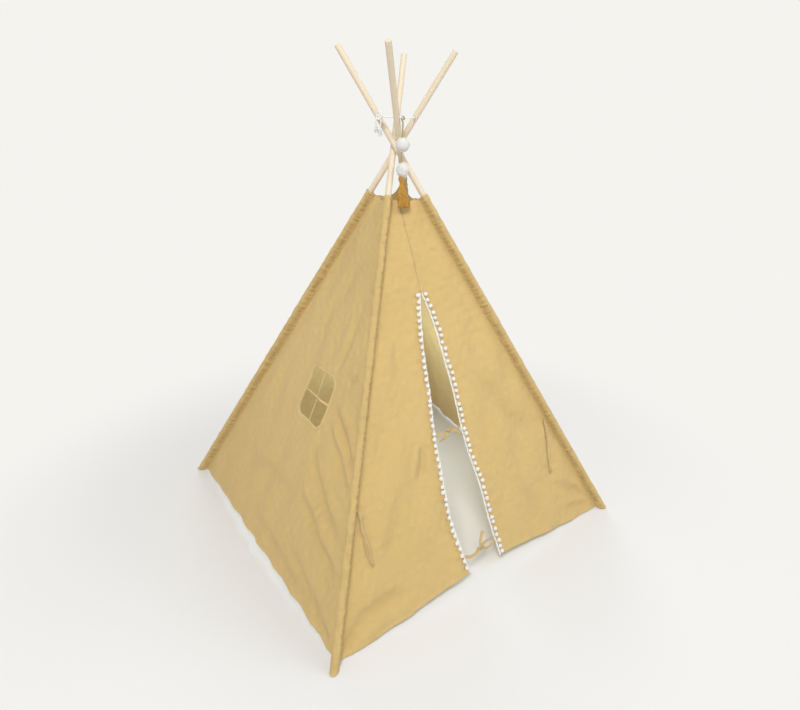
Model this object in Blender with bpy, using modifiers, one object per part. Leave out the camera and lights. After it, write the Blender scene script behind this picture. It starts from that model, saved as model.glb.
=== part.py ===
"""Kids teepee: four pine poles crossed and roped together near the top, pushed into the corner sleeves
of a cotton cover that has a door slit in front and a window on its left side.
Metres, +Z up, origin on the floor at the middle of the base. The door faces -Y and the window -X."""

import math

import bmesh
import bpy
from mathutils import Matrix, Vector

# Poles
POLE_LENGTH = 1.90
POLE_DIAMETER = 0.020
POLE_END_ROUND = 0.0025
BASE_WIDTH = 1.16
CROSSING_HEIGHT = 1.32
POLE_GAP = 0.0005
POLE_SIDES = 14
BORE_SIDES = 12

# Each pole is two lengths joined by a ferrule, and its places are measured along the pole from the floor
POLE_JOIN_PLACE = 0.90
POLE_JOIN_GAP = 0.0006
FERRULE_LENGTH = 0.16
FERRULE_WALL = 0.0007
FERRULE_CLEARANCE = 0.0003

# The rope through the poles
ROPE_HOLE_PLACE = 1.66
ROPE_DIAMETER = 0.0056
ROPE_HOLE_CLEARANCE = 0.0007
ROPE_STRAIGHT_END = 0.004
ROPE_SLACK_SHARE = 1.4
ROPE_KNOT_DIAMETER = 0.016
ROPE_TAIL_LENGTH = 0.042
ROPE_TAIL_DIAMETER = 0.0040
ROPE_TAIL_SPREAD = 0.006
ROPE_TAIL_BOW_SHARE = 0.9
ROPE_BEND_STEPS = 6
TUFT_LENGTH = 0.030
TUFT_DIAMETER = 0.016
TUFT_END_SHARE = 0.7
KNOT_FACES = (12, 8)

# The cover's corner sleeves, sewn shut on a line inside of each pole
CLOTH = 0.0012
SEAM_GAP = 0.0003
SLEEVE_TOP_PLACE = 1.375
SLEEVE_CLEARANCE = 0.0004
STITCH_REACH = 0.022
STITCH_THICKNESS = 0.0024
POCKET_SOLE = 0.003
SLEEVE_STEPS = 16

# The cover's four sides
HEM_CORNER_HEIGHT = 0.014
FRONT_HEM_RISE = 0.028
LEFT_HEM_RISE = 0.020
RIGHT_HEM_RISE = 0.030
BACK_HEM_RISE = 0.080
FRONT_DRAW_IN = 0.010
RIGHT_DRAW_IN = 0.060
BACK_DRAW_IN = 0.030
TOP_DIP = 0.020
FOLD_DEPTH = 0.005
FOLD_WIDTH = 0.030

# The door slit. Across places run from the middle of the front, and + is to the right from outside
SLIT_TOP_HEIGHT = 0.88
SLIT_SHIFT = -0.03
DOOR_PART = 0.13
FLAP_REACH = 0.33

# Trim along the door's two edges
TAPE_WIDTH = 0.010
TAPE_THICKNESS = 0.0010
POMPOM_DIAMETER = 0.012
POMPOM_PITCH = 0.021
POMPOM_INSET = 0.0085

# Door ties, whose tails turn from the across direction, and tiebacks
RIBBON_WIDTH = 0.007
RIBBON_THICKNESS = 0.0012
UPPER_TIE_HEIGHT = 0.455
LOWER_TIE_HEIGHT = 0.100
TIE_KNOT_DIAMETER = 0.016
TIE_TAIL_LENGTH = 0.048
TIE_ROOT_LENGTH = 0.015
TIE_KNOT_SHARE = 0.55
UPPER_TAIL_TURN = math.radians(205)
LOWER_TAIL_TURN = math.radians(50)
TIEBACK_HEIGHT = 0.355
TIEBACK_LENGTH = 0.175
TIEBACK_DIAMETER = 0.0040
TIEBACK_TURN = 0.009

# The window
WINDOW_SHIFT = -0.045
WINDOW_HEIGHT = 0.527
WINDOW_WIDTH = 0.155
WINDOW_TALL = 0.165
WINDOW_CORNER = 0.030
WINDOW_CORNER_POINTS = 6
BINDING_WIDTH = 0.009
WINDOW_STRIP_WIDTH = 0.007
CUTTER_OVERRUN = 0.020

# The hanging ornament
ORNAMENT_SHIFT = -0.018
ORNAMENT_CORD_DIAMETER = 0.0030
ORNAMENT_LOOP_RADIUS = 0.0070
LOOP_FIRST_ANGLE = math.radians(-50)
LOOP_ANGLE_STEP = math.radians(30)
LOOP_POINTS = 9
LOOP_NECK_SHARES = (0.35, 0.90)
LOOP_STEM_SHARE = 2.4
STEM_POINTS = 4
BALL_DIAMETER = 0.046
BALL_FACES = (16, 10)
BALL_BORE_CLEARANCE = 0.0003
UPPER_BALL_DROP = 0.082
LOWER_BALL_DROP = 0.160
TASSEL_DROP = 0.188
TASSEL_LENGTH = 0.098
TASSEL_HEAD_DIAMETER = 0.014
TASSEL_SKIRT_DIAMETER = 0.040
TASSEL_SKIRT_DEPTH = 0.018
TASSEL_STANDOFF = 0.030
TASSEL_STEPS = 14

# Where round pieces turn sharp, and which edges of a pole's end are eased
SHARP_ANGLE = math.radians(40)
END_ANGLE = math.radians(60)

PINE = (0.90, 0.78, 0.58)
COTTON = (0.71, 0.51, 0.22)
COTTON_EDGE = (0.66, 0.45, 0.18)
WHITE_YARN = (0.88, 0.87, 0.84)
OCHRE_YARN = (0.62, 0.35, 0.05)
RIBBON_TAN = (0.55, 0.40, 0.22)
STEEL_GREY = (0.60, 0.60, 0.62)

POLE_RADIUS = POLE_DIAMETER / 2
FERRULE_INNER = POLE_RADIUS + FERRULE_CLEARANCE
FERRULE_OUTER = FERRULE_INNER + FERRULE_WALL
SLEEVE_INNER = FERRULE_OUTER + SLEEVE_CLEARANCE
SLEEVE_OUTER = SLEEVE_INNER + CLOTH
FOOT_REACH = BASE_WIDTH / math.sqrt(2)
LEAN = math.atan2(FOOT_REACH, CROSSING_HEIGHT)
CROSSING_PLACE = math.hypot(FOOT_REACH, CROSSING_HEIGHT)
SIDE_SLOPE = math.atan2(BASE_WIDTH / 2, CROSSING_HEIGHT)
TOP_HEIGHT = SLEEVE_TOP_PLACE * math.cos(LEAN)
POCKET_PLACE = (POCKET_SOLE + SLEEVE_INNER * math.sin(LEAN)) / math.cos(LEAN)
MERGE_DISTANCE = SEAM_GAP / 10

# Opposite poles pass a pole's width apart, and neighbours lean on each other
OPPOSITE_SHIFT = POLE_RADIUS + POLE_GAP / 2
NEIGHBOUR_SUM = (POLE_DIAMETER + POLE_GAP) * math.sqrt(1 + math.cos(LEAN) ** 2) / math.cos(LEAN)
NEIGHBOUR_SHIFT = NEIGHBOUR_SUM - OPPOSITE_SHIFT

# Where the door's edges stand, as shares of the slit's height and of DOOR_PART from the slit's line
LEFT_EDGE_SHARES = ((0, 0.50), (0.12, 0.68), (0.32, 0.755), (0.52, 0.64), (0.70, 0.47), (0.86, 0.27), (1, 0))
RIGHT_EDGE_SHARES = ((0, 0.47), (0.12, 0.35), (0.30, 0.27), (0.45, 0.18), (0.75, 0.15), (0.90, 0.11), (1, 0))

# Main folds, each from one place to another as shares across the side and up it, with a depth share
LEFT_FOLD_SHARES = (
    (0.40, 0.36, 0.10, 0.12, 1.0),
    (0.34, 0.40, 0.07, 0.26, 0.8),
    (0.46, 0.32, 0.22, 0.05, -0.8),
    (0.55, 0.33, 0.62, 0.06, 0.7),
    (0.30, 0.58, 0.12, 0.78, -0.6),
    (0.62, 0.40, 0.90, 0.05, 0.5),
)
FRONT_FOLD_SHARES = (
    (0.10, 0.05, 0.22, 0.30, 0.8),
    (0.20, 0.03, 0.30, 0.22, -0.7),
    (0.88, 0.05, 0.78, 0.30, 0.8),
    (0.74, 0.04, 0.68, 0.24, -0.6),
)
PLAIN_FOLD_SHARES = (
    (0.12, 0.05, 0.26, 0.30, 0.7),
    (0.86, 0.05, 0.76, 0.28, 0.7),
    (0.50, 0.04, 0.50, 0.30, -0.5),
)

# A tieback's points: shares of half its turn across, of its fall down and of its turn down
TIEBACK_SHARES = (
    (1.6, 1, 0),
    (1, 0.55, 0),
    (1, 0, 1),
    (0.7, 0, 0.3),
    (0, 0, 0),
    (-0.7, 0, 0.3),
    (-1, 0, 1),
    (-1.3, 0.5, 0),
    (-0.9, 0.93, 0),
)

# The tassel's profile: shares of its head's radius, of its skirt's radius and of its length
TASSEL_SHARES = (
    (0, 0, 0),
    (0.6, 0, 0),
    (1, 0, 0.06),
    (1, 0, 0.14),
    (0.65, 0, 0.20),
    (1.1, 0, 0.32),
    (0, 0.75, 0.70),
    (0, 1, 1),
    (0, 0, 1),
)

# How many cells each piece of cloth is made of
COLUMNS_FINE = 18
ROWS_FINE = 15
COLUMNS_PLAIN = 12
ROWS_PLAIN = 11
COLUMNS_HALF = 8
COLUMNS_FLAP = 5
ROWS_FLAP = 14


class Corner:
    """One pole's line: out is the level direction from the middle to its foot, and side is square to it."""

    def __init__(self, name, x, y, shift):
        self.name = name
        self.out = Vector((x, y, 0)).normalized()
        self.side = Vector((-self.out.y, self.out.x, 0))
        self.middle = -self.side * shift
        self.foot = self.middle + self.out * FOOT_REACH
        self.crossing = self.middle + Vector((0, 0, CROSSING_HEIGHT))
        self.along = (self.crossing - self.foot).normalized()
        self.inward = Vector((0, 0, -math.sin(LEAN))) - self.out * math.cos(LEAN)

    def at(self, place):
        return self.foot + self.along * place

    def stitch(self, height):
        """The point of the stitch line at a height above the floor."""
        place = (height + STITCH_REACH * math.sin(LEAN)) / math.cos(LEAN)
        return self.at(place) + self.inward * STITCH_REACH

    def turned(self, place):
        """Axes with z along the pole and x towards the stitch line, at a place on the pole."""
        across = self.along.cross(self.inward)
        axes = Matrix((self.inward, across, self.along)).transposed().to_4x4()
        return Matrix.Translation(self.at(place)) @ axes


FRONT_LEFT = Corner("front_left", -1, -1, OPPOSITE_SHIFT)
BACK_LEFT = Corner("back_left", -1, 1, NEIGHBOUR_SHIFT)
BACK_RIGHT = Corner("back_right", 1, 1, OPPOSITE_SHIFT)
FRONT_RIGHT = Corner("front_right", 1, -1, NEIGHBOUR_SHIFT)
CORNERS = (FRONT_LEFT, BACK_LEFT, BACK_RIGHT, FRONT_RIGHT)


class Side:
    """One face of the cover between two corners' stitch lines, addressed by an across place and a height."""

    def __init__(self, first, second, across, out, hem_rise, draw_in, folds):
        self.first = first
        self.second = second
        self.hem_rise = hem_rise
        self.draw_in = draw_in
        self.across = across
        self.normal = out * math.cos(SIDE_SLOPE) + Vector((0, 0, math.sin(SIDE_SLOPE)))
        self.up = Vector((0, 0, math.cos(SIDE_SLOPE))) - out * math.sin(SIDE_SLOPE)
        self.folds = folds

    def ends(self, height):
        return [corner.stitch(height).dot(self.across) for corner in (self.first, self.second)]

    def share(self, across, height):
        low, high = self.ends(height)
        return (across - low) / (high - low)

    def point(self, across, height, lift=0.0):
        """A point of the cloth, drawn in between its corners and folded, or lift above it."""
        share = self.share(across, height)
        up = height / TOP_HEIGHT
        arch = 4 * share * (1 - share)
        depth = lift - self.draw_in * arch * (1 - up)
        depth += FOLD_DEPTH * fold_height(self.folds, share, up) * arch
        flat = self.first.stitch(height).lerp(self.second.stitch(height), share)
        return flat + self.normal * depth

    def height(self, share, level):
        """The height of a nominal level, raised along the hem and lowered along the top edge."""
        up = (level - HEM_CORNER_HEIGHT) / (TOP_HEIGHT - HEM_CORNER_HEIGHT)
        arch = 4 * share * (1 - share)
        return level + self.hem_rise * arch * (1 - up) ** 3 - TOP_DIP * arch * up**8


def fold_height(folds, share, up):
    """The sum of the folds at a place, each a soft ridge along its line that fades past the line's ends."""
    total = 0.0
    for x1, y1, x2, y2, depth in folds:
        run = Vector((x2 - x1, y2 - y1))
        spot = Vector((share - x1, up - y1))
        along = min(max(spot.dot(run) / run.length_squared, 0), 1)
        away = (spot - run * along).length * BASE_WIDTH / FOLD_WIDTH
        total += depth * math.exp(-away * away)
    return total


X_AXIS = Vector((1, 0, 0))
Y_AXIS = Vector((0, 1, 0))
FRONT = Side(FRONT_LEFT, FRONT_RIGHT, X_AXIS, -Y_AXIS, FRONT_HEM_RISE, FRONT_DRAW_IN, FRONT_FOLD_SHARES)
LEFT = Side(FRONT_LEFT, BACK_LEFT, Y_AXIS, -X_AXIS, LEFT_HEM_RISE, FRONT_DRAW_IN, LEFT_FOLD_SHARES)
RIGHT = Side(FRONT_RIGHT, BACK_RIGHT, Y_AXIS, X_AXIS, RIGHT_HEM_RISE, RIGHT_DRAW_IN, PLAIN_FOLD_SHARES)
BACK = Side(BACK_LEFT, BACK_RIGHT, X_AXIS, Y_AXIS, BACK_HEM_RISE, BACK_DRAW_IN, PLAIN_FOLD_SHARES)


def smooth_table(table, x):
    """A smooth curve through a table of (x, value) pairs, whose slopes come from each pair's neighbours."""
    last = len(table) - 2
    i = next((k for k in range(last + 1) if x <= table[k + 1][0]), last)

    def slope(k):
        low, high = max(k - 1, 0), min(k + 1, last + 1)
        return (table[high][1] - table[low][1]) / (table[high][0] - table[low][0])

    (x0, y0), (x1, y1) = table[i], table[i + 1]
    run = x1 - x0
    t = min(max((x - x0) / run, 0), 1)
    start = y0 * (1 + 2 * t) * (1 - t) ** 2 + slope(i) * run * t * (1 - t) ** 2
    return start + y1 * t * t * (3 - 2 * t) - slope(i + 1) * run * t * t * (1 - t)


def left_edge(height):
    return SLIT_SHIFT - DOOR_PART * smooth_table(LEFT_EDGE_SHARES, height / SLIT_TOP_HEIGHT)


def right_edge(height):
    return SLIT_SHIFT + DOOR_PART * smooth_table(RIGHT_EDGE_SHARES, height / SLIT_TOP_HEIGHT)


def fold_line(hand, height):
    """Where a flap folds back, on a line from the slit's top out to the hem. hand is -1 left, 1 right."""
    down = max(SLIT_TOP_HEIGHT - height, 0) / SLIT_TOP_HEIGHT
    return SLIT_SHIFT + hand * FLAP_REACH * down


def material(name, colour, roughness, metallic=0.0):
    made = bpy.data.materials.new(name)
    made.use_nodes = True
    shader = made.node_tree.nodes["Principled BSDF"]
    shader.inputs["Base Color"].default_value = (*colour, 1)
    shader.inputs["Roughness"].default_value = roughness
    shader.inputs["Metallic"].default_value = metallic
    return made


def start():
    """Clears the scene and makes the two collections."""
    for old in list(bpy.data.objects):
        bpy.data.objects.remove(old, do_unlink=True)
    for name in ("kids_teepee", "cutters"):
        bpy.context.scene.collection.children.link(bpy.data.collections.new(name))


def add(name, data, finish=None, parent=None):
    """An object in the teepee's collection, kept in place under the empty that it moves with."""
    made = bpy.data.objects.new(name, data)
    bpy.data.collections["kids_teepee"].objects.link(made)
    if finish:
        data.materials.append(finish)
    if parent:
        made.parent = parent
        made.matrix_parent_inverse = Matrix.Translation(-parent.location)
    return made


def add_cutter(name, data):
    made = bpy.data.objects.new(name, data)
    bpy.data.collections["cutters"].objects.link(made)
    made.hide_render = True
    made.display_type = "WIRE"
    return made


def pivot(name, place, parent=None):
    """An empty on a joint's axis."""
    made = bpy.data.objects.new(name, None)
    bpy.data.collections["kids_teepee"].objects.link(made)
    made.location = place
    if parent:
        made.parent = parent
        made.matrix_parent_inverse = Matrix.Translation(-parent.location)
    return made


def shade(made):
    made.data.shade_smooth()
    made.data.set_sharp_from_angle(angle=SHARP_ANGLE)


def boolean(made, cutter, operation="DIFFERENCE"):
    cut = made.modifiers.new(cutter.name, "BOOLEAN")
    cut.operation = operation
    cut.object = cutter


def mesh_of(bm, name):
    """The finished mesh of a bmesh, which is freed."""
    mesh = bpy.data.meshes.new(name)
    bm.to_mesh(mesh)
    bm.free()
    return mesh


def cone_mesh(name, foot_radius, head_radius, length, place, sides, capped=True):
    """A cone or cylinder with its middle and axis set by the matrix place."""
    bm = bmesh.new()
    radii = {"radius1": foot_radius, "radius2": head_radius}
    bmesh.ops.create_cone(bm, cap_ends=capped, segments=sides, depth=length, matrix=place, **radii)
    return mesh_of(bm, name)


def rod_mesh(name, radius, length, place, sides=POLE_SIDES, capped=True):
    return cone_mesh(name, radius, radius, length, place, sides, capped)


def ball_mesh(name, radius, centre, faces):
    """A sphere of that many faces round and up."""
    bm = bmesh.new()
    place = Matrix.Translation(centre)
    bmesh.ops.create_uvsphere(bm, u_segments=faces[0], v_segments=faces[1], radius=radius, matrix=place)
    return mesh_of(bm, name)


def flat_mesh(name, outline, depth, place):
    """A flat outline made a slab of the given depth, centred on the matrix place."""
    curve = bpy.data.curves.new(name, "CURVE")
    curve.dimensions = "2D"
    curve.fill_mode = "BOTH"
    curve.extrude = depth / 2
    spline = curve.splines.new("POLY")
    spline.points.add(len(outline) - 1)
    for point, (x, y) in zip(spline.points, outline):
        point.co = (x, y, 0, 1)
    spline.use_cyclic_u = True
    carrier = bpy.data.objects.new(name, curve)
    bpy.context.scene.collection.objects.link(carrier)
    graph = bpy.context.evaluated_depsgraph_get()
    mesh = bpy.data.meshes.new_from_object(carrier.evaluated_get(graph))
    bpy.data.objects.remove(carrier)
    bm = bmesh.new()
    bm.from_mesh(mesh)
    bmesh.ops.remove_doubles(bm, verts=bm.verts, dist=MERGE_DISTANCE)
    bmesh.ops.recalc_face_normals(bm, faces=bm.faces)
    made = mesh_of(bm, name)
    made.transform(place)
    return made


def sheet_mesh(name, place, columns, rows):
    """A grid from place(0, 0) to place(1, 1), in fixed triangles so that layers of it stay parallel."""
    bm = bmesh.new()
    bmesh.ops.create_grid(bm, x_segments=columns, y_segments=rows, size=0.5)
    for vertex in bm.verts:
        vertex.co = place(vertex.co.x + 0.5, vertex.co.y + 0.5)
    bmesh.ops.triangulate(bm, faces=bm.faces, quad_method="FIXED")
    return mesh_of(bm, name)


def thicken(made, thickness):
    wall = made.modifiers.new("cloth", "SOLIDIFY")
    wall.thickness = thickness
    wall.offset = 0


def tube(name, points, diameter, finish, parent, closed=False):
    """A cord or rope along a list of points."""
    curve = bpy.data.curves.new(name, "CURVE")
    curve.dimensions = "3D"
    curve.bevel_depth = diameter / 2
    curve.bevel_resolution = 2
    curve.use_fill_caps = True
    curve.resolution_u = 1
    spline = curve.splines.new("POLY")
    spline.points.add(len(points) - 1)
    for point, place in zip(spline.points, points):
        point.co = (*place, 1)
    spline.use_cyclic_u = closed
    return add(name, curve, finish, parent)


def smooth_run(points, steps):
    """Points on a smooth curve through the given ones, steps to each stretch."""
    padded = [points[0] * 2 - points[1], *points, points[-1] * 2 - points[-2]]
    made = []
    for a, b, c, d in zip(padded, padded[1:], padded[2:], padded[3:]):
        for k in range(steps):
            t = k / steps
            straight = b * 2 + (c - a) * t
            bend = (a * 2 - b * 5 + c * 4 - d) * t**2 + (b * 3 - a - c * 3 + d) * t**3
            made.append((straight + bend) / 2)
    return [*made, points[-1]]


def make_poles(pine, steel, pivots):
    """Each pole is a lower and an upper length in a ferrule, the upper one with a cross hole for the rope."""
    for corner, parent in zip(CORNERS, pivots):
        lengths = (
            ("lower_pole", POCKET_PLACE + SEAM_GAP, POLE_JOIN_PLACE - POLE_JOIN_GAP),
            ("upper_pole", POLE_JOIN_PLACE, POLE_LENGTH),
        )
        for label, low, high in lengths:
            name = f"{label}_{corner.name}"
            mesh = rod_mesh(name, POLE_RADIUS, high - low, corner.turned((low + high) / 2))
            pole = add(name, mesh, pine, parent)
            ease = pole.modifiers.new("ends", "BEVEL")
            ease.width = POLE_END_ROUND
            ease.segments = 1
            ease.limit_method = "ANGLE"
            ease.angle_limit = END_ANGLE
            if label == "upper_pole":
                radius = ROPE_DIAMETER / 2 + ROPE_HOLE_CLEARANCE
                turn = corner.turned(ROPE_HOLE_PLACE) @ Matrix.Rotation(math.pi / 2, 4, "X")
                hole = rod_mesh(f"rope_hole_{corner.name}", radius, POLE_DIAMETER * 2, turn, BORE_SIDES)
                boolean(pole, add_cutter(hole.name, hole))
            shade(pole)
        name = f"ferrule_{corner.name}"
        mesh = rod_mesh(name, FERRULE_INNER, FERRULE_LENGTH, corner.turned(POLE_JOIN_PLACE), capped=False)
        ferrule = add(name, mesh, steel, parent)
        wall = ferrule.modifiers.new("wall", "SOLIDIFY")
        wall.thickness = FERRULE_WALL
        wall.offset = 1
        shade(ferrule)


def teardrop():
    """The sleeve's outline: round the pole, and drawn to the stitch line on +x."""
    opening = math.acos(SLEEVE_OUTER / STITCH_REACH)
    turn = 2 * (math.pi - opening) / SLEEVE_STEPS
    outline = [(STITCH_REACH, STITCH_THICKNESS / 2)]
    for k in range(SLEEVE_STEPS + 1):
        angle = opening + turn * k
        outline.append((SLEEVE_OUTER * math.cos(angle), SLEEVE_OUTER * math.sin(angle)))
    outline.append((STITCH_REACH, -STITCH_THICKNESS / 2))
    return outline


def make_sleeves(cotton, pivots):
    """Each sleeve is a cloth tube, open at the top, whose closed foot is flat on the floor."""
    below = Matrix.Translation((0, 0, -BASE_WIDTH / 2))
    stretch = Matrix.Diagonal((2 * BASE_WIDTH, 2 * BASE_WIDTH, BASE_WIDTH, 1))
    ground = bmesh.new()
    bmesh.ops.create_cube(ground, size=1, matrix=below @ stretch)
    floor_cut = add_cutter("floor_cut", mesh_of(ground, "floor_cut"))
    length = SLEEVE_TOP_PLACE + 2 * STITCH_REACH
    bore_length = SLEEVE_TOP_PLACE - POCKET_PLACE + CUTTER_OVERRUN
    for corner, parent in zip(CORNERS, pivots):
        name = f"sleeve_{corner.name}"
        body = flat_mesh(name, teardrop(), length, corner.turned(SLEEVE_TOP_PLACE - length / 2))
        sleeve = add(name, body, cotton, parent)
        bore_middle = corner.turned(POCKET_PLACE + bore_length / 2)
        bore = rod_mesh(f"bore_{corner.name}", SLEEVE_INNER, bore_length, bore_middle)
        boolean(sleeve, add_cutter(bore.name, bore))
        boolean(sleeve, floor_cut)
        shade(sleeve)


def panel_place(side, low_bound, high_bound, bottom=HEM_CORNER_HEIGHT, top=TOP_HEIGHT, lift=0.0):
    """The placing of a stretch of cloth between two bounds, each a function that gives an across place."""

    def place(across_share, up_share):
        level = bottom + (top - bottom) * up_share
        low, high = low_bound(level), high_bound(level)
        height = side.height(side.share(low + (high - low) * across_share, level), level)
        low, high = low_bound(height), high_bound(height)
        return side.point(low + (high - low) * across_share, height, lift)

    return place


def stitch_bound(side, end):
    """The across place of a side's end, just clear of its sleeve and of the next side's cloth."""
    inside = (CLOTH / 2 + SEAM_GAP * 2) * (1 if end == 0 else -1)
    return lambda height: side.ends(height)[end] + inside


def front_bound(hand):
    """The inner bound of a front panel: the seam above the slit, and the flap's fold line below."""
    return lambda height: fold_line(hand, height) + hand * SEAM_GAP


def make_panels(cotton, cover):
    """The two plain sides, the side with the window, and the front's two halves."""
    plans = (
        ("left_panel", LEFT, stitch_bound(LEFT, 0), stitch_bound(LEFT, 1), COLUMNS_FINE, ROWS_FINE),
        ("back_panel", BACK, stitch_bound(BACK, 0), stitch_bound(BACK, 1), COLUMNS_PLAIN, ROWS_PLAIN),
        ("right_panel", RIGHT, stitch_bound(RIGHT, 0), stitch_bound(RIGHT, 1), COLUMNS_PLAIN, ROWS_PLAIN),
        ("front_left_panel", FRONT, stitch_bound(FRONT, 0), front_bound(-1), COLUMNS_HALF, ROWS_FLAP),
        ("front_right_panel", FRONT, front_bound(1), stitch_bound(FRONT, 1), COLUMNS_HALF, ROWS_FLAP),
    )
    for name, side, low, high, columns, rows in plans:
        panel = add(name, sheet_mesh(name, panel_place(side, low, high), columns, rows), cotton, cover)
        thicken(panel, CLOTH)
        shade(panel)


def make_flap(name, hand, edge, cotton, parent):
    """A door flap, from its fold line to the slit's edge, ending just under the slit's top."""

    def folded(height):
        return fold_line(hand, height) - hand * SEAM_GAP

    top = SLIT_TOP_HEIGHT - POMPOM_DIAMETER
    bounds = (folded, edge) if hand < 0 else (edge, folded)
    place = panel_place(FRONT, *bounds, top=top)
    flap = add(name, sheet_mesh(name, place, COLUMNS_FLAP, ROWS_FLAP), cotton, parent)
    thicken(flap, CLOTH)
    shade(flap)


def make_trim(name, hand, edge, white, parent):
    """A tape along a flap's free edge with pompoms sewn down its outer side."""
    base = CLOTH / 2 + SEAM_GAP
    top = SLIT_TOP_HEIGHT - POMPOM_DIAMETER * 2

    def inner(height):
        return edge(height) + hand * TAPE_WIDTH

    bounds = (inner, edge) if hand < 0 else (edge, inner)
    place = panel_place(FRONT, *bounds, top=top, lift=base + TAPE_THICKNESS / 2)
    tape = add(name, sheet_mesh(name, place, 1, ROWS_FLAP), white, parent)
    thicken(tape, TAPE_THICKNESS)
    balls = bmesh.new()
    low = HEM_CORNER_HEIGHT + FRONT_HEM_RISE + POMPOM_DIAMETER / 2
    high = top - POMPOM_DIAMETER / 2
    count = round((high - low) / math.cos(SIDE_SLOPE) / POMPOM_PITCH)
    for k in range(count + 1):
        height = low + (high - low) * k / count
        centre = FRONT.point(edge(height) + hand * POMPOM_INSET, height, base + POMPOM_DIAMETER / 2)
        place = Matrix.Translation(centre) @ FRONT.normal.to_track_quat("Z", "X").to_matrix().to_4x4()
        bmesh.ops.create_icosphere(balls, subdivisions=1, radius=POMPOM_DIAMETER / 2, matrix=place)
    pompoms = add_cutter(f"{name}_pompoms", mesh_of(balls, f"{name}_pompoms"))
    boolean(tape, pompoms, "UNION")


def ribbon(name, points, lift, finish, parent, columns=1):
    """A flat ribbon along straight across and height places of the front."""
    spots = [Vector(point) for point in points]

    def place(along_share, width_share):
        spot = along_share * (len(spots) - 1)
        k = min(int(spot), len(spots) - 2)
        run = spots[k + 1] - spots[k]
        side = run.orthogonal().normalized() * RIBBON_WIDTH
        across, height = spots[k] + run * (spot - k) + side * (width_share - 0.5)
        return FRONT.point(across, height, lift)

    made = add(name, sheet_mesh(name, place, columns * (len(points) - 1), 1), finish, parent)
    thicken(made, RIBBON_THICKNESS)


def make_ties(level, height, tail_turn, tan, left, right):
    """Two ribbons sewn behind the door's edges that meet at a knot, held with its tail by the right one."""
    lift = -(CLOTH + RIBBON_THICKNESS) / 2 - SEAM_GAP
    low, high = left_edge(height), right_edge(height)
    knot = low + (high - low) * TIE_KNOT_SHARE
    radius = TIE_KNOT_DIAMETER / 2
    left_run = ((low - TIE_ROOT_LENGTH, height), (knot - radius - SEAM_GAP, height))
    ribbon(f"{level}_tie_left", left_run, lift, tan, left, 4)
    right_run = ((knot + radius + SEAM_GAP, height), (high + TIE_ROOT_LENGTH, height))
    ribbon(f"{level}_tie_right", right_run, lift, tan, right, 4)
    centre = FRONT.point(knot, height, lift)
    lump = ball_mesh(f"{level}_tie_knot", radius, centre, KNOT_FACES)
    shade(add(lump.name, lump, tan, right))
    way = Vector((math.cos(tail_turn), math.sin(tail_turn)))
    start = Vector((knot, height)) + way * (radius + SEAM_GAP)
    tail = (start, start + way * TIE_TAIL_LENGTH)
    ribbon(f"{level}_tie_tail", tail, lift + RIBBON_THICKNESS + SEAM_GAP, tan, right, 3)


def make_tieback(name, side_end, tan, parent):
    """A cord sewn at its middle to a front sleeve's stitch line, whose two ends lie on the cloth below."""
    hand = -1 if side_end == 0 else 1
    start_across = FRONT.ends(TIEBACK_HEIGHT)[side_end] - hand * (SEAM_GAP + TIEBACK_DIAMETER * 2)
    lift = CLOTH / 2 + SEAM_GAP + TIEBACK_DIAMETER / 2
    fall = TIEBACK_LENGTH * math.cos(SIDE_SLOPE)
    half = TIEBACK_TURN / 2
    points = []
    for across_share, fall_share, turn_share in TIEBACK_SHARES:
        across = start_across - hand * half * (1 + across_share)
        height = TIEBACK_HEIGHT - fall * fall_share - TIEBACK_TURN * turn_share
        points.append(FRONT.point(across, height, lift))
    tube(name, smooth_run(points, 2), TIEBACK_DIAMETER, tan, parent)


def window_place():
    """Axes with x across the window, y up the cloth and z out of it, at the window's middle."""
    centre = LEFT.point(WINDOW_SHIFT, WINDOW_HEIGHT)
    axes = Matrix((LEFT.up.cross(LEFT.normal), LEFT.up, LEFT.normal)).transposed().to_4x4()
    return Matrix.Translation(centre) @ axes


def rounded_outline(width, tall, radius):
    steps = WINDOW_CORNER_POINTS
    outline = []
    for k in range(4 * steps):
        quarter = k // steps
        angle = math.pi / 2 * (quarter + (k % steps) / (steps - 1))
        x = (width / 2 - radius) * (1 if quarter in (0, 3) else -1)
        y = (tall / 2 - radius) * (1 if quarter in (0, 1) else -1)
        outline.append((x + radius * math.cos(angle), y + radius * math.sin(angle)))
    return outline


def plus_outline(width, tall, bar):
    x, y, b = width / 2, tall / 2, bar / 2
    quarter = [(x, -b), (x, b), (b, b), (b, y), (-b, y), (-b, b)]
    return quarter + [(-across, -up) for across, up in quarter]


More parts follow.
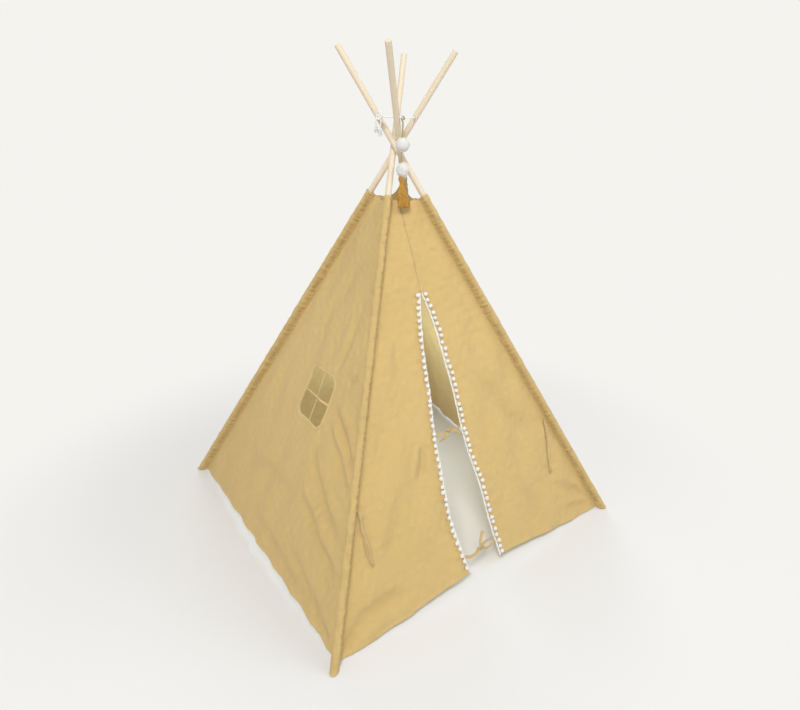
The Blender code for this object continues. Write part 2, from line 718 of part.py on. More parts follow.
def make_window(edge_cotton, cover):
    """Cuts the opening, and adds its binding outside the cloth and a cross of two strips within it."""
    place = window_place()
    depth = CUTTER_OVERRUN * 2
    shape = rounded_outline(WINDOW_WIDTH, WINDOW_TALL, WINDOW_CORNER)
    cutter = add_cutter("window_cut", flat_mesh("window_cut", shape, depth, place))
    boolean(bpy.data.objects["left_panel"], cutter)

    ends = (stitch_bound(LEFT, 0), stitch_bound(LEFT, 1))
    outer_width, outer_tall = WINDOW_WIDTH + 2 * BINDING_WIDTH, WINDOW_TALL + 2 * BINDING_WIDTH
    outer_shape = rounded_outline(outer_width, outer_tall, WINDOW_CORNER + BINDING_WIDTH)
    outer = flat_mesh("binding_outline", outer_shape, depth, place)
    above = panel_place(LEFT, *ends, lift=CLOTH + SEAM_GAP)
    plate = sheet_mesh("window_binding", above, COLUMNS_FINE, ROWS_FINE)
    binding = add("window_binding", plate, edge_cotton, cover)
    thicken(binding, CLOTH)
    boolean(binding, add_cutter("binding_outline", outer), "INTERSECT")
    boolean(binding, cutter)
    plate = sheet_mesh("window_cross", panel_place(LEFT, *ends), COLUMNS_FINE, ROWS_FINE)
    strips = add("window_cross", plate, edge_cotton, cover)
    thicken(strips, CLOTH)
    plus_size = (WINDOW_WIDTH - 2 * SEAM_GAP, WINDOW_TALL - 2 * SEAM_GAP, WINDOW_STRIP_WIDTH)
    plus = flat_mesh("cross_outline", plus_outline(*plus_size), depth, place)
    boolean(strips, add_cutter("cross_outline", plus), "INTERSECT")


def rope_route():
    """The rope's round through the holes of the four poles, from the knot on the left back to the knot."""
    order = (BACK_RIGHT, BACK_LEFT, FRONT_LEFT, FRONT_RIGHT)
    gates = []
    for corner in order:
        hole = corner.at(ROPE_HOLE_PLACE)
        half = corner.side * (POLE_RADIUS + ROPE_STRAIGHT_END)
        gates.append((hole + half, hole - half, -corner.side))
    return gates


def bend_between(leave, leave_way, reach, reach_way):
    """Points on a smooth arc that leaves one point and reaches another along given directions."""
    pull = (reach - leave).length * ROPE_SLACK_SHARE
    points = []
    for k in range(1, ROPE_BEND_STEPS):
        t = k / ROPE_BEND_STEPS
        start = leave * ((1 + 2 * t) * (1 - t) ** 2) + leave_way * pull * (t * (1 - t) ** 2)
        end = reach * (t * t * (3 - 2 * t)) - reach_way * pull * (t * t * (1 - t))
        points.append(start + end)
    return points


def make_rope(white, root):
    """The rope ring through the poles, tied at the left in a knot with two tufted tails."""
    gates = rope_route()
    arcs = []
    for (_, leave, way), (reach, _, next_way) in zip(gates, gates[1:] + gates[:1]):
        arcs.append(bend_between(leave, way, reach, next_way))
    closing = arcs[-1]
    knot = closing[len(closing) // 2]
    radius = ROPE_KNOT_DIAMETER / 2
    route = []
    for (reach, leave, _), arc in zip(gates, arcs):
        route += [reach, leave, *arc]
    begin = knot + (route[0] - knot).normalized() * (radius + SEAM_GAP)
    route = route[: -len(closing)]
    end = knot + (route[-1] - knot).normalized() * (radius + SEAM_GAP)
    tube("rope", [begin, *route, end], ROPE_DIAMETER, white, root)
    shade(add("rope_knot", ball_mesh("rope_knot", radius, knot, KNOT_FACES), white, root))
    for k, turn in enumerate((-1, 1)):
        lean = Vector((0, turn * ROPE_TAIL_SPREAD, 0))
        top = knot + lean / 2 - Vector((0, 0, radius + SEAM_GAP))
        low = top + lean - Vector((0, 0, ROPE_TAIL_LENGTH))
        middle = top + lean * ROPE_TAIL_BOW_SHARE - Vector((0, 0, ROPE_TAIL_LENGTH / 2))
        tube(f"rope_tail_{k + 1}", smooth_run([top, middle, low], 4), ROPE_TAIL_DIAMETER, white, root)
        name = f"rope_tuft_{k + 1}"
        place = Matrix.Translation(low - Vector((0, 0, TUFT_LENGTH / 2 + SEAM_GAP)))
        wide, narrow = TUFT_DIAMETER / 2 * TUFT_END_SHARE, ROPE_TAIL_DIAMETER / 2
        add(name, cone_mesh(name, wide, narrow, TUFT_LENGTH, place, KNOT_FACES[0]), white, root)


def turned_mesh(name, profile, place, steps):
    """A solid turned about the z axis of a place, from a profile of (radius, drop) pairs, top to bottom."""
    bm = bmesh.new()
    verts = [bm.verts.new((radius, 0, -drop)) for radius, drop in profile]
    for a, b in zip(verts, verts[1:]):
        bm.edges.new((a, b))
    bmesh.ops.spin(
        bm, geom=bm.verts[:] + bm.edges[:], cent=(0, 0, 0), axis=(0, 0, 1), angle=2 * math.pi, steps=steps
    )
    bmesh.ops.remove_doubles(bm, verts=bm.verts, dist=MERGE_DISTANCE)
    bmesh.ops.recalc_face_normals(bm, faces=bm.faces)
    bmesh.ops.transform(bm, matrix=place, verts=bm.verts)
    return mesh_of(bm, name)


def make_ornament(place, white, ochre, tan, parent):
    """Two felt balls and a tassel on a cord that is looped over the rope at the front."""
    reach = ORNAMENT_LOOP_RADIUS
    drop_to_centre = reach - ROPE_DIAMETER / 2 - ORNAMENT_CORD_DIAMETER / 2 - SEAM_GAP
    centre = place - Vector((0, 0, drop_to_centre))
    loop = []
    for k in range(LOOP_POINTS):
        angle = LOOP_FIRST_ANGLE + LOOP_ANGLE_STEP * k
        loop.append(centre + Vector((0, -math.cos(angle), math.sin(angle))) * reach)
    stem = centre - Vector((0, 0, reach * LOOP_STEM_SHARE))
    foot = place - Vector((0, 0, TASSEL_DROP))
    neck = stem + Vector((0, *LOOP_NECK_SHARES)) * reach
    run = [*loop, neck, stem, *[stem.lerp(foot, (k + 1) / STEM_POINTS) for k in range(STEM_POINTS)]]
    tube("ornament_cord", run, ORNAMENT_CORD_DIAMETER, tan, parent)
    bore = ORNAMENT_CORD_DIAMETER / 2 + BALL_BORE_CLEARANCE
    for name, drop in (("upper_ball", UPPER_BALL_DROP), ("lower_ball", LOWER_BALL_DROP)):
        middle = place - Vector((0, 0, drop))
        ball = add(name, ball_mesh(name, BALL_DIAMETER / 2, middle, BALL_FACES), white, parent)
        hole = rod_mesh(f"{name}_bore", bore, BALL_DIAMETER * 2, Matrix.Translation(middle), BORE_SIDES)
        boolean(ball, add_cutter(hole.name, hole))
        shade(ball)
    profile = []
    for head_share, skirt_share, length_share in TASSEL_SHARES:
        diameter = TASSEL_HEAD_DIAMETER * head_share + TASSEL_SKIRT_DIAMETER * skirt_share
        profile.append((diameter / 2, TASSEL_LENGTH * length_share))
    lean = Matrix.Translation(foot - Vector((0, 0, SEAM_GAP)))
    lean[1][1] = TASSEL_SKIRT_DEPTH / TASSEL_SKIRT_DIAMETER
    lean[1][2] = TASSEL_STANDOFF / TASSEL_LENGTH
    shade(add("tassel", turned_mesh("tassel", profile, lean, TASSEL_STEPS), ochre, parent))


def front_rope_place():
    """The point of the rope's front stretch where the ornament hangs."""
    gates = rope_route()
    (_, leave, way), (reach, _, next_way) = gates[0], gates[1]
    arc = [leave, *bend_between(leave, way, reach, next_way), reach]
    for a, b in zip(arc, arc[1:]):
        if a.x <= ORNAMENT_SHIFT <= b.x:
            return a.lerp(b, (ORNAMENT_SHIFT - a.x) / (b.x - a.x))
    return arc[len(arc) // 2]


def main():
    start()
    pine = material("pine", PINE, 0.55)
    cotton = material("cotton", COTTON, 0.9)
    edge_cotton = material("cotton_edge", COTTON_EDGE, 0.9)
    white = material("white_yarn", WHITE_YARN, 0.95)
    ochre = material("ochre_yarn", OCHRE_YARN, 0.9)
    tan = material("ribbon_tan", RIBBON_TAN, 0.85)
    steel = material("steel", STEEL_GREY, 0.35, 1.0)
    cover = pivot("cover", Vector((0, 0, 0)))
    pole_pivots = [pivot(f"pole_pivot_{corner.name}", corner.crossing, cover) for corner in CORNERS]
    slit_top = FRONT.point(SLIT_SHIFT, SLIT_TOP_HEIGHT)
    left_door = pivot("left_door_pivot", slit_top, pole_pivots[0])
    right_door = pivot("right_door_pivot", slit_top, pole_pivots[3])
    make_poles(pine, steel, pole_pivots)
    make_sleeves(cotton, pole_pivots)
    make_panels(cotton, cover)
    make_window(edge_cotton, cover)
    make_flap("left_door_flap", -1, left_edge, cotton, left_door)
    make_flap("right_door_flap", 1, right_edge, cotton, right_door)
    make_trim("left_door_trim", -1, left_edge, white, left_door)
    make_trim("right_door_trim", 1, right_edge, white, right_door)
    make_ties("upper", UPPER_TIE_HEIGHT, UPPER_TAIL_TURN, tan, left_door, right_door)
    make_ties("lower", LOWER_TIE_HEIGHT, LOWER_TAIL_TURN, tan, left_door, right_door)
    make_tieback("tieback_left", 0, tan, pole_pivots[0])
    make_tieback("tieback_right", 1, tan, pole_pivots[3])
    make_rope(white, cover)
    hang = front_rope_place()
    make_ornament(hang, white, ochre, tan, pivot("ornament_pivot", hang, cover))


main()
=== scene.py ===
"""Looks of the kids teepee: cotton cover with sewn hems and creases, pine poles, twisted rope, pompom trim,
cloth ties, felt balls and a yarn tassel, on a pale studio floor. Metres, +Z up, the door faces -Y."""

import math

import bpy
import numpy as np
from bpy.props import FloatProperty, FloatVectorProperty, IntProperty, PointerProperty
from mathutils import Matrix


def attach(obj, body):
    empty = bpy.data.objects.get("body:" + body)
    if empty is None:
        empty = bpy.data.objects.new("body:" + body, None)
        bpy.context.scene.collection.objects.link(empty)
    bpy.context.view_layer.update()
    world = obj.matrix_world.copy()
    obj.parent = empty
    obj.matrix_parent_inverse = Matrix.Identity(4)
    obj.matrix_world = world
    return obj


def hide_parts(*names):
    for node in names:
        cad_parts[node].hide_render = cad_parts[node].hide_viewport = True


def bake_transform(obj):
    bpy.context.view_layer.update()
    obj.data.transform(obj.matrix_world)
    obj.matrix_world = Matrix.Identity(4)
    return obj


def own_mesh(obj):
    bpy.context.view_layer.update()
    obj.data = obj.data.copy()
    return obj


bl_info = {
    "name": "Kids Teepee Looks",
    "version": (1, 0, 0),
    "blender": (4, 5, 0),
    "location": "View3D > Sidebar > Teepee",
    "description": "Makes the cloth, wood, rope and trim of a kids teepee round its construction model",
    "category": "Add Mesh",
}

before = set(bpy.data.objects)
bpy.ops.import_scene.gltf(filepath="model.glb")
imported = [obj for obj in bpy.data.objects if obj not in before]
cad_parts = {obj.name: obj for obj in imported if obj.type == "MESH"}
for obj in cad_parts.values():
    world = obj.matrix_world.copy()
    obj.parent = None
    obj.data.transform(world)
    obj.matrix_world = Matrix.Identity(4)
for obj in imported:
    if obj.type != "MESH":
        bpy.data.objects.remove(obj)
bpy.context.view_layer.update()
MM = 0.001

# Sizes: the construction model's, apart from those that follow the photograph more closely here. Those are
# the hems, drawn-in sides, back right sleeve, door drift, window, ties, knots, tiebacks, trim and tassel.
POLE_LENGTH = 1.90
POLE_RADIUS = 0.010
POLE_END_ROUND = 0.0025
BASE_WIDTH = 1.16
CROSSING_HEIGHT = 1.32
POLE_GAP = 0.0005
POLE_JOIN_PLACE = 0.90
FERRULE_LENGTH = 0.16
ROPE_HOLE_PLACE = 1.66
ROPE_DIAMETER = 0.0056
ROPE_HOLE_CLEARANCE = 0.0007
ROPE_STRAIGHT_END = 0.004
ROPE_SLACK_SHARE = 1.4
ROPE_BEND_STEPS = 6
ROPE_KNOT_RADIUS = 0.008
ROPE_TAIL_DIAMETER = 0.0040
TUFT_LENGTH = 0.030
TUFT_DIAMETER = 0.016
CLOTH = 0.0012
SEAM_GAP = 0.0003
SLEEVE_TOP_PLACE = 1.375
BACK_RIGHT_TOP_RISE = 0.045
SLEEVE_OUTER = 0.0126
SLEEVE_ROOM = 0.0010
STITCH_REACH = 0.022
STITCH_THICKNESS = 0.0024
HEM_CORNER_HEIGHT = 0.004
FRONT_HEM_RISE = 0.032
FRONT_HEM_SHAPE = 2.6
LEFT_HEM_RISE = 0.010
RIGHT_HEM_RISE = 0.030
BACK_HEM_RISE = 0.080
FRONT_DRAW_IN = -0.010
LEFT_DRAW_IN = -0.008
RIGHT_DRAW_IN = 0.060
BACK_DRAW_IN = 0.030
TOP_DIP = 0.020
SLIT_TOP_HEIGHT = 0.88
SLIT_SHIFT = -0.03
DOOR_PART = 0.13
DOOR_DRIFT = 0.012
DOOR_DRIFT_RUN = 0.35
FLAP_REACH = 0.33
TAPE_THICKNESS = 0.0010
POMPOM_DIAMETER = 0.012
POMPOM_PITCH = 0.021
POMPOM_INSET = 0.0085
RIBBON_THICKNESS = 0.0012
UPPER_TIE_HEIGHT = 0.449
LOWER_TIE_HEIGHT = 0.082
TIE_KNOT_RADIUS = 0.012
TIE_ROOT_LENGTH = 0.015
TIE_KNOT_SHARE = 0.55
TIEBACK_HEIGHT = 0.355
TIEBACK_LENGTH = 0.175
TIEBACK_DIAMETER = 0.0040
WINDOW_SHIFT = -0.026
WINDOW_HEIGHT = 0.519
WINDOW_WIDTH = 0.158
WINDOW_TALL = 0.172
WINDOW_CORNER = 0.030
BINDING_WIDTH = 0.009
WINDOW_STRIP_WIDTH = 0.007
ORNAMENT_SHIFT = -0.018
ORNAMENT_CORD_WIDTH = 0.0064
ORNAMENT_LOOP_RADIUS = 0.0070
BALL_RADIUS = 0.023
UPPER_BALL_DROP = 0.082
LOWER_BALL_DROP = 0.160
TASSEL_DROP = 0.180
TASSEL_SHIFT = -0.008
TASSEL_LEAN = -0.006
TASSEL_LENGTH = 0.098
TASSEL_HEAD_DIAMETER = 0.014
TASSEL_SKIRT_DIAMETER = 0.050
TASSEL_SKIRT_DEPTH = 0.018
TASSEL_STANDOFF = 0.030
STRAND_RADIUS = 0.0019
TOP_END_DIP = 0.012
TOP_END_SHARE = 0.12
SPLIT_SHIFT_SHARE = 0.14
SPLIT_SHIFT_REACH = 0.16
SLEEVE_FOOT = 0.0012
# The crease depths at which the painted shade in the creases is full, on the sides and on the sleeves
CREASE_SHADE_FULL_DEPTH = 0.0034
SLEEVE_CREASE_SHADE_FULL_DEPTH = 0.0015
TAPE_WIDTH = 0.0062
TAPE_OVERLAP = 0.0016
POMPOM_SIZE_SHARES = (1.06, 1.20)
LEFT_ROW_RISE = 0.014
LEFT_TIEBACK_DROP = 0.015
RIGHT_TIEBACK_RISE = 0.018
RIGHT_TIEBACK_SHARE = 1.16

# The widths that the cords of the ties and tiebacks declare, and the wider ones that their strips are drawn at
RIBBON_WIDTH = 0.0076
TIE_DRAWN_WIDTH = 0.0102
TIEBACK_DRAWN_WIDTH = 0.0078

# The lamps' places, sizes and the inside lamp's colour
KEY_PLACE = (-2.91, -3.22, 5.37)
KEY_SIZE = 1.9
FILL_PLACE = (2.6, -2.6, 3.2)
BACK_PLACE = (1.6, 3.6, 3.0)
SIDE_LAMP_SIZE = 2.4
INSIDE_PLACE = (0.05, 0.12, 0.48)
INSIDE_SIZE = 0.22
INSIDE_COLOUR = (0.60, 0.81, 1.0)

# The floor: its radii from the middle out, how many corners each has, and its height just below the feet
FLOOR_RADII = (0.02, 1.0, 2.0, 3.5, 8.0, 40.0)
FLOOR_SIDES = 96
FLOOR_HEIGHT = -0.0006

# Where the door's edges stand, as shares of the slit's height and of DOOR_PART from the slit's line
LEFT_EDGE_SHARES = ((0, 0.50), (0.12, 0.68), (0.32, 0.755), (0.52, 0.64), (0.70, 0.47), (0.86, 0.27), (1, 0))
RIGHT_EDGE_SHARES = ((0, 0.47), (0.12, 0.35), (0.30, 0.27), (0.45, 0.18), (0.75, 0.15), (0.90, 0.11), (1, 0))

FOOT_REACH = BASE_WIDTH / math.sqrt(2)
LEAN = math.atan2(FOOT_REACH, CROSSING_HEIGHT)
SIDE_SLOPE = math.atan2(BASE_WIDTH / 2, CROSSING_HEIGHT)
TOP_HEIGHT = SLEEVE_TOP_PLACE * math.cos(LEAN)
OPPOSITE_SHIFT = POLE_RADIUS + POLE_GAP / 2
NEIGHBOUR_SUM = (2 * POLE_RADIUS + POLE_GAP) * math.sqrt(1 + math.cos(LEAN) ** 2) / math.cos(LEAN)
NEIGHBOUR_SHIFT = NEIGHBOUR_SUM - OPPOSITE_SHIFT

# The camera: its place, its turn in degrees, and in the photograph's pixels its focal length and middle
CAMERA_PLACE = np.array((-1.100, -1.622, 1.410))
CAMERA_AZIMUTH = -41.72
CAMERA_ELEVATION = 18.97
CAMERA_ROLL = -2.55
IMAGE_SIZE = (800, 710)
FOCAL_PIXELS = 569.5
SENSOR_MM = 36
MIDDLE_PIXEL = (468.1, 316.3)


def unit(vectors):
    """Vectors divided by their lengths."""
    vectors = np.asarray(vectors, float)
    return vectors / np.maximum(np.linalg.norm(vectors, axis=-1, keepdims=True), 1e-12)


def ease(x):
    """0 below 0, 1 above 1, and the cubic 3x^2 - 2x^3 between."""
    x = np.clip(x, 0, 1)
    return x * x * (3 - 2 * x)


def bell(x):
    """exp(-x^2)."""
    return np.exp(-np.square(x))


def camera_axes():
    """The camera's right, down and forward directions: forward from azimuth and elevation, then the roll."""
    azimuth, elevation, roll = (math.radians(a) for a in (CAMERA_AZIMUTH, CAMERA_ELEVATION, CAMERA_ROLL))
    forward = np.array(
        (
            -math.sin(azimuth) * math.cos(elevation),
            math.cos(azimuth) * math.cos(elevation),
            -math.sin(elevation),
        )
    )
    level = unit(np.cross(forward, (0, 0, 1)))
    right = level * math.cos(roll) + np.cross(forward, level) * math.sin(roll)
    return right, np.cross(forward, right), forward


CAMERA_AXES = camera_axes()


class Corner:
    """One pole's line: out is the level direction from the middle to its foot, and side is square to it."""

    def __init__(self, name, x, y, shift):
        self.name = name
        self.out = unit((x, y, 0))
        self.side = np.array((-self.out[1], self.out[0], 0))
        self.foot = -self.side * shift + self.out * FOOT_REACH
        self.crossing = -self.side * shift + np.array((0, 0, CROSSING_HEIGHT))
        self.along = unit(self.crossing - self.foot)
        self.inward = np.array((0, 0, -math.sin(LEAN))) - self.out * math.cos(LEAN)
        self.across = np.cross(self.along, self.inward)
        self.body = f"{name}_pole"

    def at(self, place):
        return self.foot + np.multiply.outer(np.asarray(place, float), self.along)

    def stitch(self, height):
        """The point of the sleeve's stitch line at a height above the floor."""
        place = (np.asarray(height, float) + STITCH_REACH * math.sin(LEAN)) / math.cos(LEAN)
        return self.at(place) + self.inward * STITCH_REACH


FRONT_LEFT = Corner("front_left", -1, -1, OPPOSITE_SHIFT)
BACK_LEFT = Corner("back_left", -1, 1, NEIGHBOUR_SHIFT)
BACK_RIGHT = Corner("back_right", 1, 1, OPPOSITE_SHIFT)
FRONT_RIGHT = Corner("front_right", 1, -1, NEIGHBOUR_SHIFT)
CORNERS = (FRONT_LEFT, BACK_LEFT, BACK_RIGHT, FRONT_RIGHT)


def smooth_line(points, steps):
    """A smooth curve through points, steps to a stretch: each stretch is the cubic that leaves and reaches
    its two points along half the line between their neighbours."""
    points = np.asarray(points, float)
    padded = np.vstack([2 * points[0] - points[1], points, 2 * points[-1] - points[-2]])
    a, b, c, d = padded[:-3], padded[1:-2], padded[2:-1], padded[3:]
    t = (np.arange(steps) / steps)[None, :, None]
    a, b, c, d = (p[:, None, :] for p in (a, b, c, d))
    curve = 2 * b + (c - a) * t + (2 * a - 5 * b + 4 * c - d) * t**2 + (3 * b - a - 3 * c + d) * t**3
    return np.vstack([curve.reshape(-1, points.shape[1]) / 2, points[-1:]])


def distances(path):
    """How far each point of a path lies along it."""
    return np.concatenate([[0], np.cumsum(np.linalg.norm(np.diff(path, axis=0), axis=1))])


def spaced(path, step):
    """A path's points set a step apart along it."""
    length = distances(path)
    count = max(int(round(length[-1] / step)), 4)
    wanted = np.linspace(0, length[-1], count + 1)
    return np.stack([np.interp(wanted, length, path[:, k]) for k in range(path.shape[1])], axis=1)


def smooth_table(table, x):
    """A smooth curve through a table of (x, value) pairs, whose slopes come from each pair's neighbours."""
    xs, ys = np.array(table, float).T
    slopes = np.empty_like(ys)
    slopes[1:-1] = (ys[2:] - ys[:-2]) / (xs[2:] - xs[:-2])
    slopes[0] = (ys[1] - ys[0]) / (xs[1] - xs[0])
    slopes[-1] = (ys[-1] - ys[-2]) / (xs[-1] - xs[-2])
    x = np.clip(np.asarray(x, float), xs[0], xs[-1])
    k = np.clip(np.searchsorted(xs, x, side="right") - 1, 0, len(xs) - 2)
    run = xs[k + 1] - xs[k]
    t = (x - xs[k]) / run
    start = ys[k] * (1 + 2 * t) * (1 - t) ** 2 + slopes[k] * run * t * (1 - t) ** 2
    return start + ys[k + 1] * t * t * (3 - 2 * t) - slopes[k + 1] * run * t * t * (1 - t)


def door_middle(height):
    """The line that the door's edges part from: it leaves the seam's line a little to the right."""
    return SLIT_SHIFT + DOOR_DRIFT * ease((SLIT_TOP_HEIGHT - np.asarray(height)) / DOOR_DRIFT_RUN)


def left_edge(height):
    share = smooth_table(LEFT_EDGE_SHARES, np.asarray(height) / SLIT_TOP_HEIGHT)
    return door_middle(height) - DOOR_PART * share


def right_edge(height):
    share = smooth_table(RIGHT_EDGE_SHARES, np.asarray(height) / SLIT_TOP_HEIGHT)
    return door_middle(height) + DOOR_PART * share


def fold_line(hand, height):
    """Where a flap folds back, on a line from the slit's top out to the hem. hand is -1 left, 1 right."""
    down = np.maximum(SLIT_TOP_HEIGHT - np.asarray(height, float), 0) / SLIT_TOP_HEIGHT
    return SLIT_SHIFT + hand * FLAP_REACH * down


def waves(places, wavelength, count, seed):
    """A soft random surface: count sines of random directions and phases, wavelengths within a factor of two,
    with a mean square of 1."""
    draw = np.random.default_rng(seed)
    size = places.shape[-1]
    ways = unit(draw.normal(size=(count, size)))
    turns = 2 * math.pi / (wavelength * draw.uniform(0.7, 1.4, count))
    phases = draw.uniform(0, 2 * math.pi, count)
    return np.sin(places @ (ways * turns[:, None]).T + phases).sum(-1) * math.sqrt(2 / count)


class Fold:
    """A crease through points of a side: a valley along a smooth line with a softer ridge on its right."""

    def __init__(self, depth, width, pixels, ridge=0.5):
        self.depth = depth
        self.width = width
        self.pixels = pixels
        self.ridge = ridge
        self.line = None

    def lay(self, side):
        self.line = smooth_line([side.under_pixel(*pixel) for pixel in self.pixels], 8)

    def lift(self, spots):
        """The crease's height at spots: from each spot's signed distance d to the nearest part of the line,
        -depth * exp(-(d/w)^2) + ridge * depth * exp(-((d - 1.7w)/1.2w)^2), fading to the line's two ends."""
        width = self.width * 1.7
        low, high = self.line.min(0) - 4 * width, self.line.max(0) + 4 * width
        near = np.all((spots > low) & (spots < high), axis=-1)
        lift = np.zeros(spots.shape[:-1])
        if not near.any():
            return lift
        spot = spots[near][:, None, :]
        start, run = self.line[:-1], np.diff(self.line, axis=0)
        square = np.square(run).sum(-1)
        share = np.clip(((spot - start) * run).sum(-1) / square, 0, 1)
        gap = spot - start - run * share[..., None]
        nearest = np.square(gap).sum(-1).argmin(-1)
        rows = np.arange(len(nearest))
        gap = gap[rows, nearest]
        way = run[nearest] / np.sqrt(square[nearest])[:, None]
        distance = way[:, 0] * gap[:, 1] - way[:, 1] * gap[:, 0]
        beyond = (gap * way).sum(-1)
        lengths = np.concatenate([[0], np.cumsum(np.sqrt(square))])
        along = (lengths[nearest] + share[rows, nearest] * np.sqrt(square[nearest])) / lengths[-1]
        taper = ease(along / 0.3) * ease((1 - along) / 0.3) * bell(beyond / width)
        valley = -bell(distance / width) + self.ridge * bell((distance + 1.7 * width) / (1.2 * width))
        lift[near] = self.depth * taper * valley
        return lift


class Side:
    """One face of the cover between two corners' stitch lines. Its cloth is a function of two parameters, an
    across place and a height above the floor."""

    def __init__(self, name, first, second, across, out, hem_rise, draw_in, seed, folds=(), hem_shape=1.0):
        self.name = name
        self.first = first
        self.second = second
        self.across = np.array(across, float)
        out = np.array(out, float)
        self.normal = out * math.cos(SIDE_SLOPE) + np.array((0, 0, math.sin(SIDE_SLOPE)))
        self.hem_rise = hem_rise
        self.hem_shape = hem_shape
        self.draw_in = draw_in
        self.seed = seed
        self.folds = folds
        for fold in folds:
            fold.lay(self)

    def ends(self, height):
        return self.first.stitch(height) @ self.across, self.second.stitch(height) @ self.across

    def share(self, across, height):
        low, high = self.ends(height)
        return (across - low) / (high - low)

    def hem(self, share, level):
        """The height of a nominal level, raised along the hem, lowered along the top edge and at its ends, and
        drawn up to the back right corner, whose sleeve reaches higher."""
        up = (level - HEM_CORNER_HEIGHT) / (TOP_HEIGHT - HEM_CORNER_HEIGHT)
        arch = 4 * share * (1 - share)
        rise = -TOP_END_DIP * bell(share / TOP_END_SHARE)
        if self.second.name == "back_right":
            rise = rise + BACK_RIGHT_TOP_RISE * np.clip(share, 0, 1) ** 2.5
        else:
            rise = rise - TOP_END_DIP * bell((1 - share) / TOP_END_SHARE)
        lift = self.hem_rise * np.maximum(arch, 0) ** self.hem_shape
        return level + lift * (1 - up) ** 3 + (rise - TOP_DIP * arch) * up**8

    def under_pixel(self, across_pixel, down_pixel):
        """The across place and slope distance where the ray through a pixel meets the side's plane."""
        right, down, forward = CAMERA_AXES
        ray = forward + right * (across_pixel - MIDDLE_PIXEL[0]) / FOCAL_PIXELS
        ray = ray + down * (down_pixel - MIDDLE_PIXEL[1]) / FOCAL_PIXELS
        base = (self.first.stitch(0.5) + self.second.stitch(0.5)) / 2
        place = CAMERA_PLACE + ray * ((base - CAMERA_PLACE) @ self.normal) / (ray @ self.normal)
        return place @ self.across, place[2] / math.cos(SIDE_SLOPE)

    def folded(self, across, height):
        """The height of the named creases alone."""
        slope = height / math.cos(SIDE_SLOPE)
        spots = np.stack(np.broadcast_arrays(across, slope), axis=-1)
        return sum((fold.lift(spots) for fold in self.folds), np.zeros(spots.shape[:-1]))

    def relief(self, across, height):
        """Height of the cloth over its smooth shape: named creases, soft waves, puckers that run in from the
        two stitch lines and along the hem, all still at the stitch lines."""
        low, high = self.ends(height)
        slope = height / math.cos(SIDE_SLOPE)
        spots = np.stack(np.broadcast_arrays(across, slope), axis=-1)
        edge = np.minimum(across - low, high - across)
        lift = self.folded(across, height)
        stretch = spots * np.array((1.0, 0.45))
        lift = 3.2 * lift + 2.5 * MM * waves(stretch, 0.12, 14, self.seed)
        lift = lift + 0.65 * MM * waves(spots, 0.036, 16, self.seed + 1)
        run = slope + 4 * MM * waves(spots, 0.09, 6, self.seed + 2)
        pucker = np.sin(2 * math.pi * run / 0.023) + 0.7 * np.sin(2 * math.pi * run / 0.0371)
        lift = lift * ease(edge / 0.03) + 1.1 * MM * pucker * np.exp(-edge / 0.013) * ease(edge / 0.006)
        hem = slope - self.hem(self.share(across, height), HEM_CORNER_HEIGHT) / math.cos(SIDE_SLOPE)
        crimp = np.sin(2 * math.pi * across / 0.031 + 2 * waves(spots, 0.1, 6, self.seed + 3))
        return lift + 0.35 * MM * crimp * np.exp(-hem / 0.02) * ease(edge / 0.02)

    def place(self, across, height):
        """A point of the cloth's middle: between the two stitch lines at that height, drawn in by an arch that
        fades to the top, and moved out by the relief."""
        share = self.share(across, height)
        arch = 4 * share * (1 - share)
        depth = self.relief(across, height) - self.draw_in * arch * (1 - height / TOP_HEIGHT)
        first, second = self.first.stitch(height), self.second.stitch(height)
        return first + (second - first) * share[..., None] + self.normal * depth[..., None]

    def cloth(self, across, height):
        """Points of the cloth's middle and its outward normals, from steps of 1 mm across and up."""
        across, height = np.broadcast_arrays(np.asarray(across, float), np.asarray(height, float))
        points = self.place(across, height)
        over = self.place(across + MM, height) - points
        above = self.place(across, height + MM) - points
        normals = unit(np.cross(over, above))
        return points, normals * np.sign(normals @ self.normal)[..., None]

    def bound(self, end):
        """The across place of a side's end, just clear of its sleeve and of the next side's cloth."""
        inside = (CLOTH / 2 + SEAM_GAP * 2) * (1 if end == 0 else -1)
        return lambda height: self.ends(height)[end] + inside

    def split(self, height):
        """The line where a side's two halves meet, off the window on the side that has one."""
        low, high = self.ends(height)
        share = 0.5
        if self.name == "left":
            share = 0.5 + SPLIT_SHIFT_SHARE * bell((np.asarray(height) - WINDOW_HEIGHT) / SPLIT_SHIFT_REACH)
        return low + (high - low) * share


# The photograph's creases: how deep and how wide each is, and its places in pixels
LEFT_FOLDS = (
    Fold(0.0040, 0.012, ((335, 402), (345, 434), (356, 478)), 0.7),
    Fold(0.0030, 0.009, ((330, 418), (341, 458), (352, 500)), 0.6),
    Fold(0.0038, 0.012, ((315, 440), (320, 477), (329, 508), (341, 545)), 0.6),
    Fold(0.0032, 0.011, ((299, 484), (315, 525), (328, 556), (341, 588)), 0.6),
    Fold(0.0024, 0.012, ((290, 540), (310, 585), (330, 638)), 0.5),
    Fold(0.0026, 0.010, ((334, 378), (349, 350), (362, 313)), 0.6),
    Fold(0.0020, 0.007, ((350, 383), (363, 376)), 0.5),
    Fold(0.0016, 0.014, ((320, 362), (330, 315), (371, 252)), 0.4),
    Fold(0.0016, 0.014, ((240, 455), (272, 470), (300, 505)), 0.4),
    Fold(0.0018, 0.012, ((250, 500), (285, 560), (322, 622)), 0.4),
    Fold(0.0016, 0.007, ((324, 619), (334, 639)), 0.5),
)
